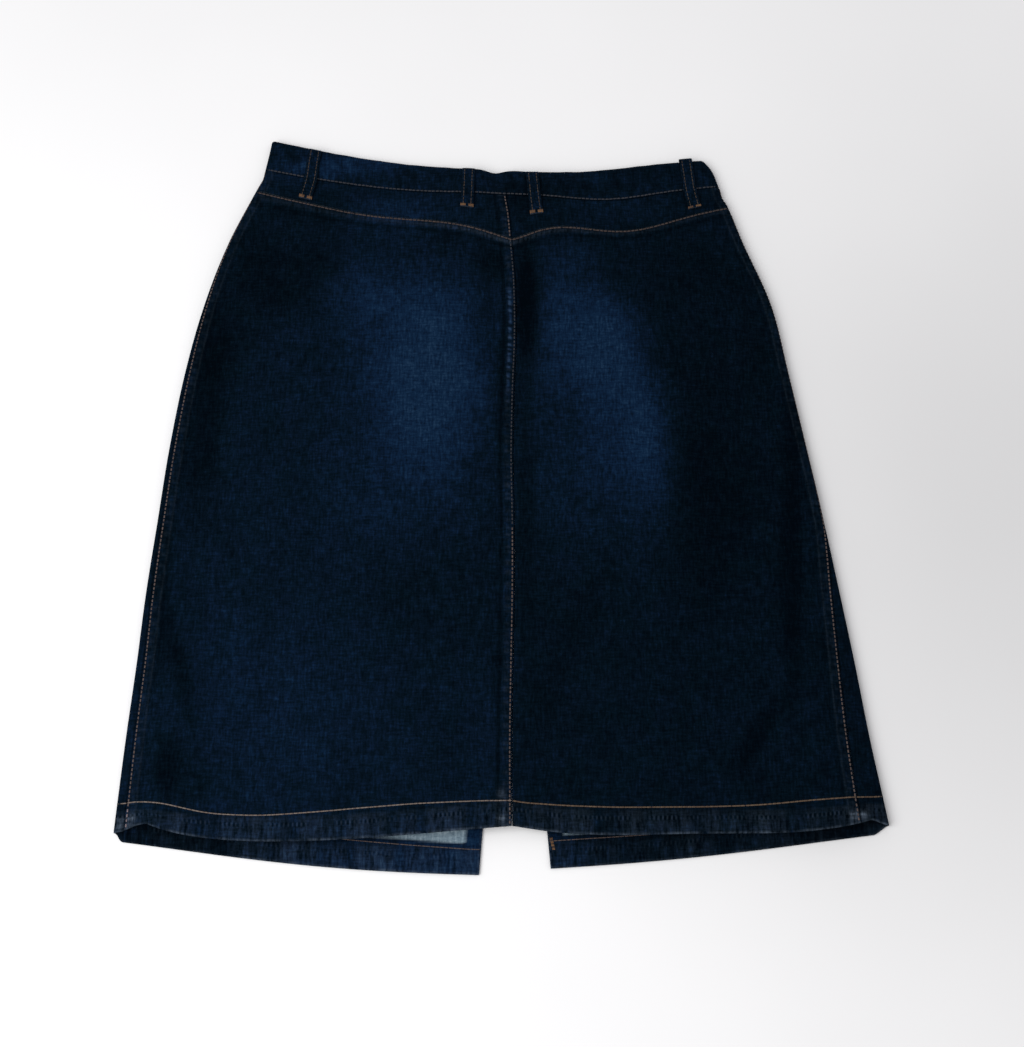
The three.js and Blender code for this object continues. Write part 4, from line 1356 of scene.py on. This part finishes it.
def surface(down, side, layer, cloth, proud=0.0, inner=None):
    """Points of the cloth along a line, and the way out of it."""
    down, cloth = np.broadcast_arrays(np.asarray(down, float), np.asarray(cloth, float))

    def at(d, c):
        o, i = layer_point(d, side, layer, c, CLOTH if inner is None else inner, proud)
        return o if inner is None else i

    here = at(down, cloth)
    along = at(down + 0.5, cloth) - at(down - 0.5, cloth)
    over = at(down, cloth + 0.5) - at(down, cloth - 0.5)
    normal = unit(np.cross(over, along))
    wanted = 1 if (layer == "back") == (inner is None) else -1
    flip = np.sign(np.where(np.abs(normal[..., 2:]) > 0.05, normal[..., 2:], wanted)) * wanted
    return here, normal * flip


def seam_path(side, start, end):
    """Along a side seam, on the back panel or yoke."""
    down = lengths(start, end)
    cloth = side_seam(down, side) + SEAM_GAP / 2 + EDGE_STITCH
    return surface(down, side, "back", cloth, back_proud(side, down, cloth))


def centre_path(start, end):
    """Along the back's centre seam, on the left."""
    down = lengths(start, end)
    cloth = centre_cloth(down, -1) - SEAM_GAP / 2 - EDGE_STITCH
    return surface(down, -1, "back", cloth, back_proud(-1, down, cloth))


def lengths(start, end, step=1.5):
    return np.linspace(start, end, max(2, round((end - start) / step) + 1))


def row_path(side, down, start, end, layer="back", proud=None):
    """Along a row, from one length of cloth to another."""
    cloth = lengths(start, end)
    down = np.full_like(cloth, down)
    proud = back_proud(side, down, cloth) if proud is None else proud
    return surface(down, side, layer, cloth, proud)


def hem_path(side, start, end):
    """Along the back hem's wandering line of stitches."""
    cloth = lengths(start, end)
    x = plan_x(np.full_like(cloth, BACK_HEM_ROW + 1), side, "back", cloth)
    places = np.array(HEM_LINE, float)
    down = sum(np.interp(x + shift, places[:, 0], places[:, 1]) for shift in (-9, -3, 3, 9)) / 4
    return surface(down, side, "back", cloth, back_proud(side, down, cloth))


def front_hem_path(side, start, end, inner=None):
    cloth = lengths(start, end)
    x = plan_x(np.full_like(cloth, FRONT_HEM_ROW), side, "front", cloth)
    down = sum(front_hem_line(x + shift) for shift in (-9, -3, 3, 9)) / 4
    return surface(down, side, "front", cloth, 0, inner)


def front_edge_path(side, start, end, offset):
    """Along the front's centre seam and the slit's edge, on the outside."""
    down = lengths(start, end)
    return surface(down, side, "front", slit_edge_cloth(down, side) - offset)


def fly_path(width):
    """The curved topstitching of the fly, on the wearer's right."""
    turn = np.linspace(0, math.pi / 2, 40)
    straight = lengths(BAND_SEAM + 1, FLY_STRAIGHT)
    down = np.concatenate([straight, FLY_STRAIGHT + 1.2 * width * np.sin(turn[1:])])
    offset = np.concatenate([np.full_like(straight, width), width * np.cos(turn[1:])])
    cloth = centre_cloth(down, 1, "front") - SEAM_GAP / 2 - np.maximum(offset, EDGE_STITCH)
    return surface(down, 1, "front", cloth)


def full_at(down, side, layer="back"):
    return float(centre_cloth(np.array(float(down)), side, layer))


def make_stitches(name, paths, material, length, width, height, pitch, seed):
    points, faces = stitch_mesh(paths, length, width, height, pitch, seed)
    obj = new_object(name, points, faces)
    obj.data.materials.append(material)
    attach(obj, "root")
    return obj


HEM_UNDER = CLOTH + HEM_EXTRA - STITCH_ROOM  # from the front's outer face to its hem's inner one


def sew_half(paths, side):
    """The lines of stitches that both halves have."""
    seam = float(side_seam(BACK_HEM_ROW, side))
    free_edge = full_at(FRONT_HEM_ROW, side, "front") - float(slit_half(FRONT_HEM_ROW, side)) - 1
    paths["stitches_hem_left" if side < 0 else "stitches_hem_right"] += [
        hem_path(side, seam + 0.6, full_at(BACK_HEM_ROW, side) - 0.2),
        hem_path(side, 0.2, seam),
        front_hem_path(side, 0.2, free_edge),
    ]
    paths["stitches_hem_inside"].append(front_hem_path(side, QUARTER + 4, free_edge, HEM_UNDER))
    seams = paths["stitches_seams"]
    seam_ends = paths["stitches_seam_ends"] if side < 0 else seams
    seams.append(seam_path(side, YOKE_SEAM + 9, HEM_EDGE - HEM_DEPTH))
    seam_ends.append(seam_path(side, HEM_EDGE - HEM_DEPTH + 1, HEM_EDGE - 1.5))
    seams.append(seam_path(side, BAND_SEAM + 1, YOKE_SEAM - 1))
    down = YOKE_SEAM + EDGE_STITCH
    start, end = float(side_seam(down, side)) + 0.6, full_at(down, side) - 0.4
    paths["stitches_yoke"].append(row_path(side, down, start, end))
    down = BAND_SEAM - 1.3
    front_end = full_at(down, side, "front") - 0.3 + (-22 if side < 0 else 7)
    paths["stitches_waistband"] += [
        row_path(side, down, 0.2, full_at(down, side) - 0.3, "back", BAND_PROUD),
        row_path(side, down, 0.2, front_end, "front", 0),
    ]
    slit_line = front_edge_path(side, SLIT_TOP + 3, HEM_EDGE - HEM_DEPTH, SLIT_FACING - 2)
    paths["stitches_front"].append(slit_line)


def sew_middle(paths):
    """The centre seams, the fly and the tack beside the slit."""
    paths["stitches_front"] += [
        front_edge_path(1, BAND_SEAM + 1, SLIT_TOP, EDGE_STITCH),
        fly_path(FLY_WIDTH),
        fly_path(FLY_WIDTH - 6),
    ]
    paths["stitches_seams"] += [
        centre_path(CENTRE_WORN_TO, HEM_EDGE - 1),
        centre_path(BAND_SEAM + 1, YOKE_SEAM - 1),
    ]
    paths["stitches_centre_top"].append(centre_path(YOKE_SEAM + 1.5, CENTRE_WORN_TO - 2))
    down = lengths(*SLIT_TACK_ROWS)
    for column in SLIT_TACK_COLUMNS:
        cloth = full_at(FRONT_HEM_ROW, 1, "front") - slit_half(down, 1) - column
        paths["slit_bar_tack"].append(surface(down, 1, "front", cloth, 0, HEM_UNDER))


def loop_line(loop, share, places, sunk):
    """Along a belt loop's face, at a share of its half width and at places down from its top."""
    _, layer, top_x, bottom_x, top, bottom = loop
    up = 1 if layer == "back" else -1
    along = places / (bottom - top)
    px, py, face, away = loop_points(layer, top_x, bottom_x, top, bottom, along, share)
    z = face + up * (away + LOOP_THICKNESS - sunk)
    return stack(px, py, z), np.tile([0.0, 0.0, float(up)], (len(px), 1))


def sew_loop(paths, loop):
    length = loop[5] - loop[4]
    for share in (-LOOP_STITCH_SHARE, LOOP_STITCH_SHARE):
        places = np.arange(1.5, length - 3, 1.0)
        paths["stitches_belt_loops"].append(loop_line(loop, share, places, 0.16))
    for share in TACK_SHARES:
        places = length - np.array(TACK_PLACES)
        paths["bar_tacks"].append(loop_line(loop, share, places, np.array([0.2, 0.2, 0.2, 0.4])))


def make_sewing():
    paths = defaultdict(list)
    for side in (-1, 1):
        sew_half(paths, side)
    sew_middle(paths)
    for loop in LOOPS:
        sew_loop(paths, loop)
    for name, thread, length, width, height, pitch, seed in STITCHES:
        make_stitches(name, paths[name], THREAD[thread], length, width, height, pitch, seed)


# Metal parts and the zip

def lathe(name, profile, segments=64):
    angles = np.linspace(0, 2 * np.pi, segments, endpoint=False)
    points, faces = [], []
    inner_profile = profile[1:-1]
    for r, z in inner_profile:
        points += [(BUTTON_X + r * math.cos(a), BUTTON_Y + r * math.sin(a), z) for a in angles]
    for first in range(0, (len(inner_profile) - 1) * segments, segments):
        for j in range(segments):
            j2 = (j + 1) % segments
            faces.append([first + j, first + j2, first + segments + j2, first + segments + j])
    for ring, tip, turned in ((0, profile[0], True), (len(inner_profile) - 1, profile[-1], False)):
        points.append((BUTTON_X, BUTTON_Y, tip[1]))
        for j in range(segments):
            pair = [ring * segments + j, ring * segments + (j + 1) % segments]
            faces.append([*(pair[::-1] if turned else pair), len(points) - 1])
    return new_object(name, np.array(points), faces)


def make_button():
    top = BUTTON_LIFT + BAND
    face = [(0, 0.75), (0.9, 0.7), (1.5, 0.42), (2.6, 0.34), (3.4, 0.62), (5.6, 0.66), (6.3, 0.3)]
    rim = [(6.9, 0.04), (7.5, 0.0), (8.1, 0.3), (8.42, 0.85), (CAP_RADIUS, 1.3), (8.3, 1.9), (7.6, 2.5)]
    under = [(6.4, 2.8), (3.2, 2.95)]
    shank = [(SHANK_RADIUS, CAP_HEIGHT + 0.1), (SHANK_RADIUS, top - 0.5), (2.0, top - 0.05), (0, top)]
    profile = face + rim + under + shank
    button = lathe("waist_button_detail", profile)
    button.data.materials.append(metal_material("button_metal", (0.36, 0.20, 0.115), (0.10, 0.055, 0.035)))
    stand_for(button, "waist_button")


def zip_point(down, x, away):
    edge, _, _, _ = half_row(down, -1, "front")
    px, py = plan(down, -1, "front", np.abs(x - edge))
    return stack(px, py, front_height(px, py) + CLOTH + away)


def make_zip():
    rows = spaced(BAND_SEAM + 3, BAND_SEAM + 3 + ZIP_LENGTH, 2.5)[:, None]
    share = np.linspace(-1, 1, 13)[None, :]
    down, share = np.broadcast_arrays(rows, share)
    x = outline_at(down)[..., 2] + share * ZIP_WIDTH / 2
    outer = zip_point(down, x, ZIP_CLEARANCE + ZIP_THICKNESS)
    inner = zip_point(down, x, ZIP_CLEARANCE)
    look = even_look(outer, 0.1)
    tape = shell("zip_tape_shell", outer, inner, look, look)
    tape.data.materials.append(tape_material())
    stand_for(tape, "zip_tape")
    metal = metal_material("zip_metal", (0.42, 0.30, 0.16), (0.14, 0.09, 0.05))
    paths = []
    for k, tooth in enumerate(np.arange(BAND_SEAM + 6, BAND_SEAM + ZIP_LENGTH - 4, TOOTH_PITCH)):
        offset = 0.9 if k % 2 else -0.9
        ends = np.array([-TOOTH_LENGTH / 2, TOOTH_LENGTH / 2]) + offset
        d = np.full(2, tooth)
        path = zip_point(d, outline_at(d)[..., 2] + ends, ZIP_CLEARANCE + ZIP_THICKNESS + 0.2)
        paths.append((path, np.tile([0.0, 0.0, 1.0], (2, 1))))
    tooth_size = (TOOTH_LENGTH, TOOTH_WIDTH, TOOTH_HEIGHT)
    teeth = make_stitches("zip_teeth", paths, metal, *tooth_size, TOOTH_LENGTH, 1)
    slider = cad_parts["zip_slider"]
    for slot in slider.material_slots:
        slot.material = metal


# Camera, light and floor

def make_camera():
    data = bpy.data.cameras.new("camera")
    data.sensor_width = SENSOR
    data.lens = FOCAL_PIXELS / FRAME_HEIGHT * SENSOR
    camera = bpy.data.objects.new("camera", data)
    e = math.radians(CAMERA_ELEVATION)
    aim = Vector((-CENTRE[0], -CENTRE[1], 0))
    camera.location = (aim + CAMERA_DISTANCE * Vector((0, -math.cos(e), math.sin(e)))) * MM
    camera.rotation_euler = (math.pi / 2 - e, 0, 0)
    bpy.context.scene.collection.objects.link(camera)
    bpy.context.scene.camera = camera


def make_key_light():
    data = bpy.data.lights.new("key", "AREA")
    data.energy = KEY_POWER
    data.size = KEY_SIZE
    light = bpy.data.objects.new("key", data)
    light.location = KEY_PLACE
    light.rotation_euler = (-Vector(KEY_PLACE)).to_track_quat("-Z", "Y").to_euler()
    bpy.context.scene.collection.objects.link(light)


def make_stage():
    bpy.ops.mesh.primitive_plane_add(size=8, location=(0, 0, -0.0002))
    floor = bpy.context.object
    floor.name = "floor"
    floor.data.materials.append(floor_material())
    make_key_light()
    world = bpy.data.worlds.new("studio")
    world.use_nodes = True
    background = world.node_tree.nodes["Background"]
    background.inputs[0].default_value = (*SKY_COLOUR, 1)
    background.inputs[1].default_value = SKY_LEVEL
    bpy.context.scene.world = world
    bpy.context.scene.view_settings.view_transform = "Standard"


make_camera()
make_stage()
make_front()
make_back()
make_waistband()
for loop in LOOPS:
    make_loop(*loop)
make_button()
make_zip()
make_sewing()
